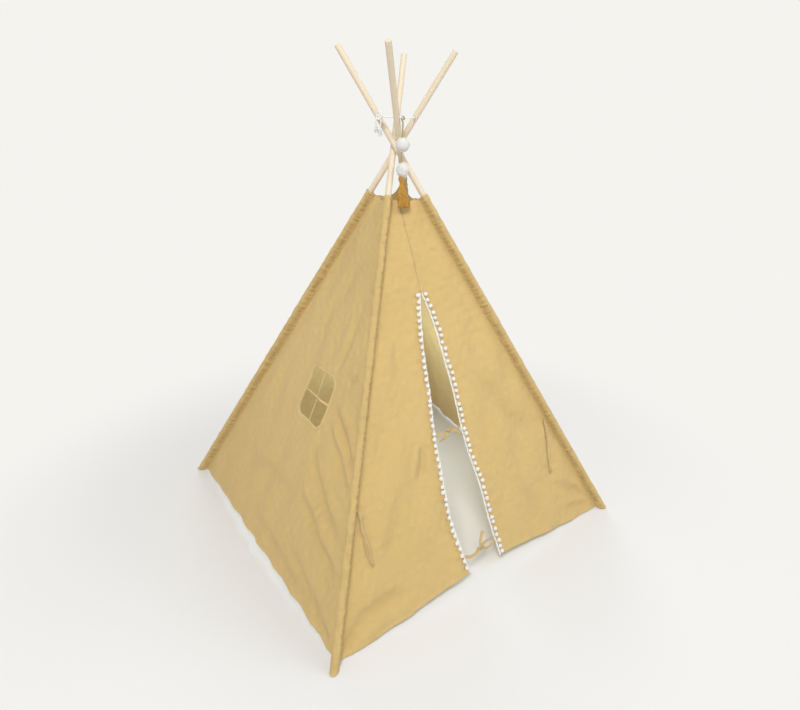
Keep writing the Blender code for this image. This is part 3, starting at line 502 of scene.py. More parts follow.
FRONT_FOLDS = (
    Fold(0.0018, 0.011, ((396, 338), (397, 360), (399, 388)), 0.5),
    Fold(0.0030, 0.008, ((422, 443), (423, 462), (420, 484)), 0.6),
    Fold(0.0030, 0.013, ((345, 647), (360, 628), (377, 610), (414, 589)), 0.6),
    Fold(0.0022, 0.008, ((341, 652), (360, 636)), 0.5),
    Fold(0.0020, 0.007, ((341, 657), (355, 648)), 0.5),
    Fold(0.0022, 0.010, ((592, 496), (571, 488), (548, 481)), 0.5),
    Fold(0.0020, 0.008, ((588, 501), (560, 507)), 0.5),
    Fold(0.0030, 0.018, ((468, 362), (492, 393), (520, 422), (544, 416)), 0.4),
    Fold(0.0018, 0.014, ((400, 480), (396, 530), (380, 575)), 0.4),
    Fold(0.0016, 0.014, ((505, 470), (530, 500), (545, 528)), 0.4),
)
FRONT = Side(
    "front", FRONT_LEFT, FRONT_RIGHT, (1, 0, 0), (0, -1, 0), FRONT_HEM_RISE, FRONT_DRAW_IN, 11, FRONT_FOLDS,
    FRONT_HEM_SHAPE,
)
LEFT = Side("left", FRONT_LEFT, BACK_LEFT, (0, 1, 0), (-1, 0, 0), LEFT_HEM_RISE, LEFT_DRAW_IN, 23, LEFT_FOLDS)
RIGHT = Side("right", FRONT_RIGHT, BACK_RIGHT, (0, 1, 0), (1, 0, 0), RIGHT_HEM_RISE, RIGHT_DRAW_IN, 37)
BACK = Side("back", BACK_LEFT, BACK_RIGHT, (1, 0, 0), (0, 1, 0), BACK_HEM_RISE, BACK_DRAW_IN, 51)


class Value:
    """A number socket whose operators add Math nodes, so that shader maths reads as an expression."""

    def __init__(self, paint, socket):
        self.paint = paint
        self.socket = socket

    def math(self, operation, *others):
        return self.paint.node("ShaderNodeMath", (self, *others), operation=operation)

    def __add__(self, other):
        return self.math("ADD", other)

    def __sub__(self, other):
        return self.math("SUBTRACT", other)

    def __mul__(self, other):
        return self.math("MULTIPLY", other)

    def __truediv__(self, other):
        return self.math("DIVIDE", other)

    def __rsub__(self, other):
        return self.paint.node("ShaderNodeMath", (other, self), operation="SUBTRACT")

    __radd__ = __add__
    __rmul__ = __mul__


class Paint:
    """The nodes of one material, round its Principled shader."""

    def __init__(self, name, roughness=0.8, sheen=0.0):
        self.material = bpy.data.materials.new(name)
        self.material.use_nodes = True
        self.tree = self.material.node_tree
        self.shader = self.tree.nodes["Principled BSDF"]
        self.shader.inputs["Roughness"].default_value = roughness
        self.shader.inputs["Sheen Weight"].default_value = sheen

    def node(self, kind, inputs=(), output=0, stops=None, **settings):
        """Adds a node with its settings, then feeds its sockets, given by order or by name."""
        made = self.tree.nodes.new(kind)
        for name, value in settings.items():
            setattr(made, name, value)
        if stops:
            ramp = made.color_ramp.elements
            while len(ramp) < len(stops):
                ramp.new(0.5)
            for element, (position, colour) in zip(ramp, stops):
                element.position = position
                element.color = (*colour, 1)
        pairs = inputs.items() if isinstance(inputs, dict) else enumerate(inputs)
        for key, value in pairs:
            self.feed(made.inputs[key], value)
        return Value(self, made.outputs[output])

    def feed(self, socket, value):
        if isinstance(value, Value):
            self.tree.links.new(value.socket, socket)
        elif socket.type == "RGBA":
            socket.default_value = (*value, 1)
        else:
            socket.default_value = value

    def coordinates(self, kind="Object"):
        return self.node("ShaderNodeTexCoord", output=("Generated", "Normal", "UV", "Object").index(kind))

    def mapped(self, vector, scale=(1, 1, 1), place=(0, 0, 0), turn=(0, 0, 0), kind="POINT"):
        inputs = {"Vector": vector, "Location": place, "Rotation": turn, "Scale": scale}
        return self.node("ShaderNodeMapping", inputs, vector_type=kind)

    def noise(self, vector, scale=1.0, detail=2.0, roughness=0.5):
        inputs = {"Vector": vector, "Scale": scale, "Detail": detail, "Roughness": roughness}
        return self.node("ShaderNodeTexNoise", inputs)

    def wave(self, vector, scale=1.0, direction="X"):
        return self.node(
            "ShaderNodeTexWave", {"Vector": vector, "Scale": scale}, output=1, bands_direction=direction
        )

    def ramp(self, value, *stops):
        return self.node("ShaderNodeValToRGB", (value,), stops=stops)

    def grey(self, value, low, high):
        """0 at low and 1 at high, linear between."""
        return self.node("ShaderNodeMapRange", (value, low, high, 0.0, 1.0))

    def mix(self, share, first, second):
        """A colour between two, through a colour Mix node."""
        inputs = {0: share, 6: first, 7: second}
        return self.node("ShaderNodeMix", inputs, output=2, data_type="RGBA")

    def attribute(self, name):
        return self.node("ShaderNodeAttribute", output=2, attribute_name=name)

    def seen(self):
        """1 for the rays that show the backdrop: the camera's, reflected ones and those through cloth."""
        rays = ("Camera", "Glossy", "Transmission")
        straight, glossy, through = (self.node("ShaderNodeLightPath", output=f"Is {ray} Ray") for ray in rays)
        return straight.math("MAXIMUM", glossy).math("MAXIMUM", through)

    def colour(self, value):
        self.feed(self.shader.inputs["Base Color"], value)

    def bump(self, height, distance, strength=1.0):
        inputs = {"Height": height, "Distance": distance, "Strength": strength}
        self.feed(self.shader.inputs["Normal"], self.node("ShaderNodeBump", inputs))


class Sky(Paint):
    """The nodes of the scene's world."""

    def __init__(self, name):
        world = bpy.data.worlds.new(name)
        world.use_nodes = True
        bpy.context.scene.world = world
        self.tree = world.node_tree


def shade_of(colour, factor):
    """A colour made lighter or darker, held to 1."""
    return tuple(min(part * factor, 1.0) for part in colour)


# The share of the light that the cotton lets through, which brightens the teepee's inside
CLOTH_SEE_THROUGH = 0.25
CLOTH_GLOW = (0.92, 0.84, 0.66)
# How much of the backdrop's colour the lit floor has, so that it renders as the backdrop does
FLOOR_SHARES = (0.90, 0.915, 0.95)
SKY_COLOUR = (1.0, 0.99, 0.97)
MADE = {}


def material(name, make, *values):
    """A material made once, by its own function."""
    if name not in MADE:
        MADE[name] = make(name, *values)
    return MADE[name]


def thread_line(paint, gap_name, run, pitch, half_width=0.0007):
    """Where a seam's stitches show: near 0 of the gap attribute, in dashes along the run."""
    gap = paint.attribute(gap_name)
    near = 1 - paint.grey(gap.math("ABSOLUTE"), half_width * 0.6, half_width * 1.4)
    return near * paint.grey((run / pitch).math("FRACT"), 0.22, 0.30)


def cotton(name, colour):
    """Plain-weave cotton canvas: slubs along both threads, a fine weave, faint blotches, stitched seams and
    painted shade in the creases and the front seam's groove.
    """
    paint = Paint(name, roughness=0.92, sheen=0.12)
    paint.shader.inputs["Sheen Roughness"].default_value = 0.6
    uv = paint.coordinates("UV")
    weft = paint.noise(paint.mapped(uv, (28, 620, 1)), 1.0, 3.0, 0.6)
    warp = paint.noise(paint.mapped(uv, (560, 24, 1), (7.3, 2.1, 0)), 1.0, 3.0, 0.6)
    blotch = paint.noise(paint.mapped(uv, (9, 9, 1)), 1.0, 4.0, 0.55)
    threads_u = paint.wave(paint.mapped(uv, (1, 1, 1)), 1 / 0.0021, "X")
    threads_v = paint.wave(paint.mapped(uv, (1, 1, 1)), 1 / 0.0021, "Y")
    weave = threads_u * threads_v
    slub = weft * 0.55 + warp * 0.45
    base = paint.mix(paint.grey(slub, 0.38, 0.62), shade_of(colour, 0.89), shade_of(colour, 1.07))
    base = paint.mix(paint.grey(blotch, 0.35, 0.7) * 0.5, base, shade_of(colour, 0.94))
    axes = paint.node("ShaderNodeSeparateXYZ", (uv,))
    up = paint.node("ShaderNodeSeparateXYZ", (uv,), output=1)
    hem = thread_line(paint, "hem_gap", axes, 0.0042)
    side = thread_line(paint, "side_gap", up, 0.0042)
    thread = hem.math("MAXIMUM", side)
    # Painted shade: the crease attribute darkens the cloth's colour towards 0.62 of it in the valleys of the
    # creases
    base = paint.mix(paint.grey(paint.attribute("crease"), 0.0, 1.0) * 0.5, base, shade_of(colour, 0.62))
    # Painted shade: a band along the front seam above the slit is darkened, standing for the shade in its
    # groove
    seam_groove_shade = 1 - paint.grey(paint.attribute("seam_gap").math("ABSOLUTE"), 0.0008, 0.0020)
    slit_top = SLIT_TOP_HEIGHT / math.cos(SIDE_SLOPE)
    above = paint.grey(up, slit_top, slit_top + 0.01)
    base = paint.mix(seam_groove_shade * above * 0.6, base, shade_of(colour, 0.55))
    paint.colour(paint.mix(thread * 0.8, base, shade_of(colour, 1.22)))
    paint.bump(slub * 0.5 + weave * 0.18 + thread * 0.6, 0.0009, 0.45)
    through = paint.node("ShaderNodeBsdfTranslucent", {"Color": CLOTH_GLOW})
    opaque = Value(paint, paint.shader.outputs[0])
    whole = paint.node("ShaderNodeMixShader", (CLOTH_SEE_THROUGH, opaque, through))
    paint.feed(paint.tree.nodes["Material Output"].inputs["Surface"], whole)
    return paint.material


def pine(name, colour, corner):
    """Sanded pine: growth rings seen lengthways, fine fibres, faint darker streaks and the odd pin knot."""
    paint = Paint(name, roughness=0.55)
    axes = np.stack([corner.inward, corner.across, corner.along], axis=1)
    turn = Matrix(axes.tolist()).to_euler()
    local = paint.mapped(paint.coordinates(), place=tuple(corner.foot), turn=tuple(turn), kind="TEXTURE")
    rings = paint.noise(paint.mapped(local, (150, 60, 2.2)), 1.0, 2.0, 0.5)
    fibres = paint.noise(paint.mapped(local, (420, 420, 9)), 1.0, 2.0, 0.5)
    tint = paint.noise(paint.mapped(local, (30, 30, 3)), 1.0, 3.0, 0.6)
    stops = ((0.34, 0.2), (0.45, 1), (0.55, 0.6), (0.66, 1))
    ring = paint.ramp(rings, *((place, (grey, grey, grey)) for place, grey in stops))
    early, late = shade_of(colour, 1.03), tuple(c * f for c, f in zip(colour, (0.94, 0.88, 0.78)))
    base = paint.mix(ring, late, early)
    base = paint.mix(paint.grey(fibres, 0.35, 0.65) * 0.3, base, shade_of(colour, 0.93))
    warm = tuple(c * f for c, f in zip(colour, (1.0, 0.95, 0.88)))
    paint.colour(paint.mix(paint.grey(tint, 0.5, 0.75) * 0.5, base, warm))
    paint.bump(fibres * 0.6 + rings * 0.4, 0.0002, 0.2)
    paint.feed(paint.shader.inputs["Roughness"], paint.grey(fibres, 0.2, 0.8) * 0.14 + 0.48)
    return paint.material


def yarn(name, colour, pitch, depth=0.0006, contrast=0.88):
    """Soft spun fibre: fine fuzz, painted shade in the short hollows between the fibres, and broad patches of
    darker tone.
    """
    paint = Paint(name, roughness=0.95, sheen=0.25)
    places = paint.coordinates()
    fuzz = paint.noise(places, 1 / pitch, 4.0, 0.65)
    broad = paint.noise(places, 0.25 / pitch, 2.0, 0.5)
    # Painted shade: where the fuzz sinks into a hollow between the fibres, its colour darkens to contrast
    # times the colour
    base = paint.mix(paint.grey(fuzz, 0.35, 0.65), shade_of(colour, contrast), shade_of(colour, 1.04))
    paint.colour(paint.mix(paint.grey(broad, 0.4, 0.7) * 0.35, base, shade_of(colour, contrast)))
    paint.bump(fuzz, depth, 0.6)
    return paint.material


def ribbon_cloth(name, colour):
    """Folded cotton strip: close diagonal weave along its own map, and fuzz."""
    paint = Paint(name, roughness=0.9, sheen=0.15)
    uv = paint.coordinates("UV")
    ribs = paint.wave(paint.mapped(uv, (1, 1, 1), turn=(0, 0, math.radians(35))), 1 / 0.0018)
    fuzz = paint.noise(uv, 900.0, 3.0, 0.6)
    base = paint.mix(paint.grey(fuzz, 0.35, 0.65), shade_of(colour, 0.82), shade_of(colour, 1.1))
    paint.colour(paint.mix(ribs * 0.25, base, shade_of(colour, 0.8)))
    paint.bump(ribs * 0.5 + fuzz * 0.5, 0.0004, 0.5)
    return paint.material


def drawn_metal(name, colour):
    """Drawn aluminium tube: fine scratches along it and a dull patch here and there."""
    paint = Paint(name, roughness=0.35)
    paint.shader.inputs["Metallic"].default_value = 1.0
    places = paint.coordinates()
    scratch = paint.noise(paint.mapped(places, (900, 900, 60)), 1.0, 3.0, 0.6)
    paint.colour(paint.mix(scratch, shade_of(colour, 0.85), colour))
    paint.feed(paint.shader.inputs["Roughness"], scratch * 0.25 + 0.25)
    paint.bump(scratch, 0.0001, 0.2)
    return paint.material


def mesh_object(name, points, groups, finish, uv=None, values=None, normals=None):
    """A mesh from whole arrays of points and of faces with three or four corners, turned to face outwards:
    if the signed volume, the sum of a.(b x c)/6 over its triangles, is below 0, every face is reversed."""
    points = np.asarray(points, float).reshape(-1, 3)
    volume = 0.0
    for faces in groups:
        a = points[faces[:, 0]]
        for k in range(1, faces.shape[1] - 1):
            b, c = points[faces[:, k]], points[faces[:, k + 1]]
            volume += np.einsum("ij,ij->", a, np.cross(b, c))
    if volume < 0:
        groups = [faces[:, ::-1] for faces in groups]
    corners = np.concatenate([faces.ravel() for faces in groups])
    used, corners = np.unique(corners, return_inverse=True)
    sizes = np.concatenate([np.full(len(faces), faces.shape[1]) for faces in groups])
    starts = np.concatenate([[0], np.cumsum(sizes)[:-1]])
    mesh = bpy.data.meshes.new(name)
    mesh.vertices.add(len(used))
    mesh.vertices.foreach_set("co", points[used].astype(np.float32).ravel())
    mesh.loops.add(len(corners))
    mesh.loops.foreach_set("vertex_index", corners.astype(np.int32))
    mesh.polygons.add(len(sizes))
    mesh.polygons.foreach_set("loop_start", starts.astype(np.int32))
    mesh.update(calc_edges=True)
    mesh.validate()
    if uv is not None:
        layer = mesh.uv_layers.new(name="UVMap")
        flat = np.asarray(uv, float).reshape(-1, 2)[used][corners]
        layer.data.foreach_set("uv", flat.astype(np.float32).ravel())
    for key, array in (values or {}).items():
        attribute = mesh.attributes.new(key, "FLOAT", "POINT")
        attribute.data.foreach_set("value", np.asarray(array, float).ravel()[used].astype(np.float32))
    mesh.shade_smooth()
    if normals is not None:
        mesh.normals_split_custom_set_from_vertices(np.asarray(normals, float).reshape(-1, 3)[used])
    mesh.materials.append(finish)
    made = bpy.data.objects.new(name, mesh)
    bpy.context.scene.collection.objects.link(made)
    return made


def grid_faces(rows, columns, round_columns=False, round_rows=False):
    """The four-cornered faces of a grid of points, closed round its columns and its rows where asked."""
    index = np.arange(rows * columns).reshape(rows, columns)
    if round_rows:
        index = np.vstack([index, index[:1]])
    if round_columns:
        index = np.hstack([index, index[:, :1]])
    cells = (index[:-1, :-1], index[:-1, 1:], index[1:, 1:], index[1:, :-1])
    return np.stack(cells, axis=-1).reshape(-1, 4)


def end_fans(rows, columns):
    """The fans that close a round grid's first and last ring, at the two points that follow the grid's own."""
    here = np.arange(columns)
    after = (here + 1) % columns
    last = (rows - 1) * columns
    first_middle = np.full(columns, rows * columns)
    return np.concatenate([
        np.stack([after, here, first_middle], axis=-1),
        np.stack([last + here, last + after, first_middle + 1], axis=-1),
    ])


def cloth_object(name, points, normals, outer, inner, finish, uv, values, keep=None):
    """A closed sheet of cloth: the grid moved out and in along its normals, joined round every free edge."""
    rows, columns = points.shape[:2]
    count = rows * columns
    cells = grid_faces(rows, columns)
    cells = cells[keep.ravel()] if keep is not None else cells
    edges = np.stack((cells, np.roll(cells, -1, axis=1)), axis=-1).reshape(-1, 2)
    forward = edges[:, 0] * count + edges[:, 1]
    backward = edges[:, 1] * count + edges[:, 0]
    rim = edges[~np.isin(forward, backward)]
    walls = np.stack((rim[:, 1], rim[:, 0], rim[:, 0] + count, rim[:, 1] + count), axis=-1)
    both = np.concatenate([points + normals * outer[..., None], points - normals * inner[..., None]])
    groups = [cells, cells[:, ::-1] + count, walls]
    double = {key: np.concatenate([array.ravel()] * 2) for key, array in values.items()}
    facing = np.concatenate([normals, -normals])
    return mesh_object(name, both, groups, finish, np.concatenate([uv, uv]), double, facing)


def swept(path, ring, side, up, scale=1.0):
    """A ring of (x, y) places carried along a path: path + scale * (x * side + y * up) at each step. The ring
    may change from step to step."""
    ring = np.broadcast_to(ring, (len(path), *np.shape(ring)[-2:])) * np.reshape(scale, (-1, 1, 1))
    return path[:, None, :] + ring[..., :1] * side[:, None, :] + ring[..., 1:] * up[:, None, :]


def frames(path, facing):
    """Directions square to a path: up is facing made square to the path, and side is square to both."""
    way = unit(np.gradient(path, axis=0))
    side = unit(np.cross(way, np.broadcast_to(facing, path.shape)))
    return side, np.cross(side, way)


def round_ring(sides, radius=1.0):
    angle = np.arange(sides) * 2 * math.pi / sides
    return np.stack([np.cos(angle), np.sin(angle)], axis=-1) * radius


def flat_ring(width, thickness, sides=16):
    """The outline of a strip with rounded edges: |x|^3 and |y|^3 shares that add to 1."""
    angle = (np.arange(sides) + 0.5) * 2 * math.pi / sides
    x, y = np.cos(angle), np.sin(angle)
    size = (np.abs(x) ** 3 + np.abs(y) ** 3) ** (-1 / 3)
    return np.stack([x * size * width / 2, y * size * thickness / 2], axis=-1)


def tube_object(name, rings, finish, closed=False):
    """A closed skin round rings of points, with a middle point at each end, and a map in metres round and
    along it."""
    steps, sides = rings.shape[:2]
    points = rings.reshape(-1, 3)
    middles = rings.mean(axis=1)
    along = distances(middles)
    radius = np.linalg.norm(rings - middles[:, None], axis=-1).mean()
    turn = np.abs(np.arange(sides) / sides - 0.5) * 2 * math.pi * radius
    uv = np.stack(np.broadcast_arrays(turn[None, :], along[:, None]), axis=-1).reshape(-1, 2)
    if closed:
        return mesh_object(name, points, [grid_faces(steps, sides, True, True)], finish, uv)
    points = np.vstack([points, middles[:1], middles[-1:]])
    uv = np.vstack([uv, [[0, along[0]], [0, along[-1]]]])
    return mesh_object(name, points, [grid_faces(steps, sides, True), end_fans(steps, sides)], finish, uv)


def rope_rings(path, diameter, facing, pitch, lobes=3, sides=24):
    """A laid rope, whose radius at angle a and distance s is
    R (0.80 + 0.20 |cos(lobes (a - 2 pi s / pitch) / 2)|)."""
    side, up = frames(path, facing)
    angle = np.arange(sides) * 2 * math.pi / sides
    turned = lobes * (angle[None, :] - 2 * math.pi * distances(path)[:, None] / pitch) / 2
    radius = diameter / 2 * (0.80 + 0.20 * np.abs(np.cos(turned)))
    ring = np.stack([np.cos(angle) * radius, np.sin(angle) * radius], axis=-1)
    return swept(path, ring, side, up)


def ball_points(around, up):
    """Unit directions of a ball's grid, its rows set between the two poles, then the poles."""
    turn = np.arange(around) * 2 * math.pi / around
    rise = (np.arange(up) + 0.5) / up * math.pi - math.pi / 2
    turn, rise = np.meshgrid(turn, rise)
    grid = np.stack([np.cos(turn) * np.cos(rise), np.sin(turn) * np.cos(rise), np.sin(rise)], axis=-1)
    return np.vstack([grid.reshape(-1, 3), [[0, 0, -1], [0, 0, 1]]])


def ball_faces(around, up):
    """Faces of ball_points: the grid between the poles and a fan at each."""
    return grid_faces(up, around, True), end_fans(up, around)


def strands_object(name, lines, radii, finish, sides=4):
    """Many thin strands as one mesh: lines holds each strand's points, radii its radius at each of them.
    Every strand is a small tube closed by a flat face at each end."""
    count, steps = lines.shape[:2]
    way = unit(np.gradient(lines, axis=1))
    side = unit(np.cross(way, np.array((0.31, 0.85, 0.42))))
    up = np.cross(side, way)
    angle = np.arange(sides) * 2 * math.pi / sides
    spread = np.cos(angle)[:, None] * side[:, :, None, :] + np.sin(angle)[:, None] * up[:, :, None, :]
    points = lines[:, :, None, :] + spread * radii[:, :, None, None]
    one = grid_faces(steps, sides, True)
    shift = (np.arange(count) * steps * sides)[:, None, None]
    tube = (one[None] + shift).reshape(-1, 4)
    first = np.arange(sides)[None, ::-1] + shift[:, 0]
    last = (steps - 1) * sides + np.arange(sides)[None] + shift[:, 0]
    return mesh_object(name, points, [tube, first, last], finish)


def trefoil(count):
    """A trefoil's closed line, as three arrays: (sin t + 2 sin 2t, cos t - 2 cos 2t, -sin 3t)."""
    t = np.linspace(0, 2 * math.pi, count, endpoint=False)
    return np.sin(t) + 2 * np.sin(2 * t), np.cos(t) - 2 * np.cos(2 * t), -np.sin(3 * t)


def closed_frames(path, facing):
    """Directions square to a closed path, as frames gives for an open one."""
    way = unit(np.roll(path, -1, axis=0) - np.roll(path, 1, axis=0))
    side = unit(np.cross(way, unit(facing)))
    return side, np.cross(side, way)


def fold_with(piece, body, corner, side):
    """The piece rides on a body by one corner's pole."""
    across = side.across - corner.along * (side.across @ corner.along)
    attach(piece, body)
    tuple(unit(across))
    tuple(corner.stitch(0.6))
    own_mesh(piece)


class ClothSettings(bpy.types.PropertyGroup):
    colour: FloatVectorProperty(
        name="Colour", description="The cotton cover", subtype="COLOR", default=(0.745, 0.542, 0.223)
    )
    edge_colour: FloatVectorProperty(
        name="Edge colour", description="Window binding", subtype="COLOR", default=(0.80, 0.61, 0.28)
    )
    cell: FloatProperty(
        name="Cell", description="Size of the cloth's cells at the hem", default=0.0065, unit="LENGTH"
    )
    hem_width: FloatProperty(
        name="Hem width", description="Turned hem of the cover", default=0.010, unit="LENGTH"
    )


class PoleSettings(bpy.types.PropertyGroup):
    colour: FloatVectorProperty(
        name="Colour", description="Sanded pine", subtype="COLOR", default=(0.77, 0.665, 0.505)
    )
    metal: FloatVectorProperty(
        name="Ferrule colour", description="Drawn tube", subtype="COLOR", default=(0.60, 0.60, 0.62)
    )
    sides: IntProperty(name="Sides", description="Faces round a pole", default=40)


class RopeSettings(bpy.types.PropertyGroup):
    colour: FloatVectorProperty(
        name="Colour", description="White cotton rope", subtype="COLOR", default=(0.90, 0.895, 0.87)
    )
    pitch: FloatProperty(
        name="Lay", description="Length of one turn of the rope", default=0.016, unit="LENGTH"
    )
    threads: IntProperty(name="Threads", description="Frayed threads in a tuft", default=44)


class TrimSettings(bpy.types.PropertyGroup):
    colour: FloatVectorProperty(
        name="Colour", description="Pompoms and their tape", subtype="COLOR", default=(0.90, 0.89, 0.86)
    )
    tie_colour: FloatVectorProperty(
        name="Tie colour", description="Door ties and tiebacks", subtype="COLOR", default=(0.60, 0.44, 0.205)
    )


class OrnamentSettings(bpy.types.PropertyGroup):
    ball_colour: FloatVectorProperty(
        name="Ball colour", description="Felt balls", subtype="COLOR", default=(0.76, 0.745, 0.715)
    )
    tassel_colour: FloatVectorProperty(
        name="Tassel colour", description="Yarn tassel", subtype="COLOR", default=(0.62, 0.31, 0.035)
    )
    cord_colour: FloatVectorProperty(
        name="Cord colour", description="Flat cord", subtype="COLOR", default=(0.44, 0.35, 0.17)
    )
    strands: IntProperty(name="Strands", description="Yarn strands in the tassel", default=64)


class StageSettings(bpy.types.PropertyGroup):
    background: FloatVectorProperty(
        name="Background", description="Floor and backdrop", subtype="COLOR", default=(0.905, 0.896, 0.863)
    )
    sky: FloatProperty(name="Sky", description="Strength of the even light", default=0.46)
    key: FloatProperty(name="Key", description="Power of the large soft lamp", default=240.0, unit="POWER")
    fill: FloatProperty(name="Fill", description="Power of the lamp at the right", default=42.0, unit="POWER")
    back: FloatProperty(name="Back", description="Power of the lamp behind", default=48.0, unit="POWER")
    inside: FloatProperty(name="Inside", description="Power of the lamp inside", default=4.9, unit="POWER")


class TEEPEE_OT_camera(bpy.types.Operator):
    """Sets the camera at the photograph's place and angle"""

    bl_idname = "teepee.camera"
    bl_label = "Camera"

    def execute(self, context):
        width, height = IMAGE_SIZE
        data = bpy.data.cameras.new("camera")
        data.sensor_width = SENSOR_MM
        data.lens = FOCAL_PIXELS / width * SENSOR_MM
        data.shift_x = (width / 2 - MIDDLE_PIXEL[0]) / width
        data.shift_y = (MIDDLE_PIXEL[1] - height / 2) / width
        camera = bpy.data.objects.new("camera", data)
        right, down, forward = CAMERA_AXES
        turned = Matrix(np.stack([right, -down, -forward], axis=1).tolist()).to_4x4()
        camera.matrix_world = Matrix.Translation(CAMERA_PLACE) @ turned
        context.scene.collection.objects.link(camera)
        context.scene.camera = camera
        return {"FINISHED"}


def rope_gates():
    """Where the rope enters and leaves each pole's hole, and which way it runs there."""
    gates = []
    for corner in (BACK_RIGHT, BACK_LEFT, FRONT_LEFT, FRONT_RIGHT):
        hole = corner.at(ROPE_HOLE_PLACE)
        half = corner.side * (POLE_RADIUS + ROPE_STRAIGHT_END)
        gates.append((corner, hole + half, hole - half, -corner.side))
    return gates


def rope_arc(leave, way, reach, next_way):
    """The rope's arc between two poles: the cubic that leaves one gate and reaches the next straight out."""
    pull = np.linalg.norm(reach - leave) * ROPE_SLACK_SHARE
    t = (np.arange(ROPE_BEND_STEPS * 4 + 1) / (ROPE_BEND_STEPS * 4))[:, None]
    start = leave * ((1 + 2 * t) * (1 - t) ** 2) + way * pull * (t * (1 - t) ** 2)
    return start + reach * (t * t * (3 - 2 * t)) - next_way * pull * (t * t * (1 - t))


def rope_arcs():
    gates = rope_gates()
    return [
        (corner, after, rope_arc(leave, way, reach, next_way))
        for (corner, _, leave, way), (after, reach, _, next_way) in zip(gates, gates[1:] + gates[:1])
    ]


def hang_point():
    """The point of the rope's front stretch where the ornament hangs."""
    arc = rope_arcs()[0][2]
    return np.array([np.interp(ORNAMENT_SHIFT, arc[:, 0], arc[:, k]) for k in range(3)])


class TEEPEE_OT_rope(bpy.types.Operator):
    """Makes the twisted rope through the poles, its knot and its two frayed tails"""

    bl_idname = "teepee.rope"
    bl_label = "Rope"

    def execute(self, context):
        settings = context.scene.teepee_rope
        finish = material("rope_cotton", yarn, tuple(settings.colour), 0.0011, 0.0005)
        for corner, after, arc in rope_arcs():
            middle = len(arc) // 2
            for pole, half in ((corner, arc[: middle + 1]), (after, arc[middle:][::-1])):
                self.half_arc(pole, half, settings.pitch, finish)
        knot = self.knot_place()
        self.knot(knot, settings, finish)
        self.tails(knot, settings, finish)
        return {"FINISHED"}

    def knot_place(self):
        """The middle of the arc between the front right and back right poles' ends, at the left."""
        arc = rope_arcs()[-1][2]
        return arc[len(arc) // 2]

    def half_arc(self, pole, half, pitch, finish):
        """From the middle of a pole's hole to the middle of the gap: it follows the pole out of its hole."""
        hole = pole.at(ROPE_HOLE_PLACE)
        path = spaced(smooth_line(np.vstack([hole, half[::4]]), 12), 0.0009)
        rings = rope_rings(path, ROPE_DIAMETER, pole.along, pitch)
        hand = "left" if half[-1] @ pole.side < hole @ pole.side else "right"
        piece = tube_object(f"rope_{pole.name}_{hand}", rings, finish)
        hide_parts("rope")
        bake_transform(piece)

    def knot(self, centre, settings, finish):
        """A trefoil laid on its side and drawn tight, with small bows that leave it and come back:
        reach * sin(pi s) + width / 2 * sin(2 pi s)."""
        x, y, z = trefoil(144)
        size = ROPE_KNOT_RADIUS / 3
        path = centre + np.stack([z * size * 0.9, x * size * 1.05, y * size * 0.9], axis=-1)
        side, up = closed_frames(path, path - centre + np.array((0.3 * size, 0, 0)))
        t = np.linspace(0, 2 * math.pi, len(path), endpoint=False)
        angle = np.arange(20) * 2 * math.pi / 20
        turned = 3 * (angle[None, :] - 9 * t[:, None]) / 2
        radius = ROPE_DIAMETER / 2 * 0.86 * (0.82 + 0.18 * np.abs(np.cos(turned)))
        ring = np.stack([np.cos(angle) * radius, np.sin(angle) * radius], axis=-1)
        pieces = [tube_object("rope_knot_wrap", swept(path, ring, side, up), finish, closed=True)]
        share = np.linspace(0, 1, 60)[:, None]
        bows = (
            ((-0.004, 0.013, 0.011), (-0.004, -0.011, 0.013)),
            ((-0.006, -0.014, 0.006), (-0.004, -0.007, -0.014)),
            ((-0.010, 0.010, -0.004), (-0.002, 0.006, 0.012)),
        )
        for k, (reach, width) in enumerate(bows):
            out, across = np.array(reach), np.array(width) / 2
            bow = centre + out * np.sin(math.pi * share) + across * np.sin(2 * math.pi * share)
            rings = rope_rings(bow, ROPE_DIAMETER * 0.8, (1, 0, 0), settings.pitch * 0.8, sides=18)
            pieces.append(tube_object(f"rope_knot_bow_{k + 1}", rings, finish))
        for piece in pieces:
            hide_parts("rope_knot")
            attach(piece, "root")

    def tails(self, knot, settings, finish):
        """Two short ends that hang from the knot, each opened into a tuft of threads."""
        draw = np.random.default_rng(5)
        runs = (
            ((0, 0.001, -0.002), (-0.012, 0.010, -0.010), (-0.007, 0.016, -0.028)),
            ((0, -0.002, -0.004), (-0.005, -0.007, -0.018), (-0.002, 0.002, -0.038)),
        )
        for k, run in enumerate(runs):
            path = spaced(smooth_line(knot + np.array(run), 16), 0.0008)
            low = path[-1]
            rings = rope_rings(path, ROPE_TAIL_DIAMETER, (1, 0, 0), settings.pitch * 0.7, sides=18)
            tail = tube_object(f"rope_tail_end_{k + 1}", rings, finish)
            t = np.linspace(0, 1, 9)
            count = settings.threads
            turns = draw.uniform(0, 2 * math.pi, count)
            reach = np.sqrt(draw.uniform(0, 1, count)) * TUFT_DIAMETER * 0.46
            length = TUFT_LENGTH * draw.uniform(0.45, 0.75, count)
            flare = t**0.8 * (1 + 0.25 * np.sin(5 * t + 1))
            lines = np.empty((count, len(t), 3))
            wobble = 0.0011 * np.sin(t[None] * draw.uniform(5, 11, (count, 1)) + turns[:, None]) * t
            out = (0.0013 + reach[:, None] * flare) + wobble
            lines[..., 0] = low[0] + np.cos(turns)[:, None] * out
            lines[..., 1] = low[1] + np.sin(turns)[:, None] * out
            lines[..., 2] = low[2] + 0.004 - (0.004 + length[:, None]) * t
            radii = np.broadcast_to(0.00062 * (1 - 0.3 * t), (count, len(t)))
            tuft = strands_object(f"rope_fray_{k + 1}", lines, radii, finish)
            for piece, node in ((tail, f"rope_tail_{k + 1}"), (tuft, f"rope_tuft_{k + 1}")):
                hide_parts(node)
                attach(piece, "root")


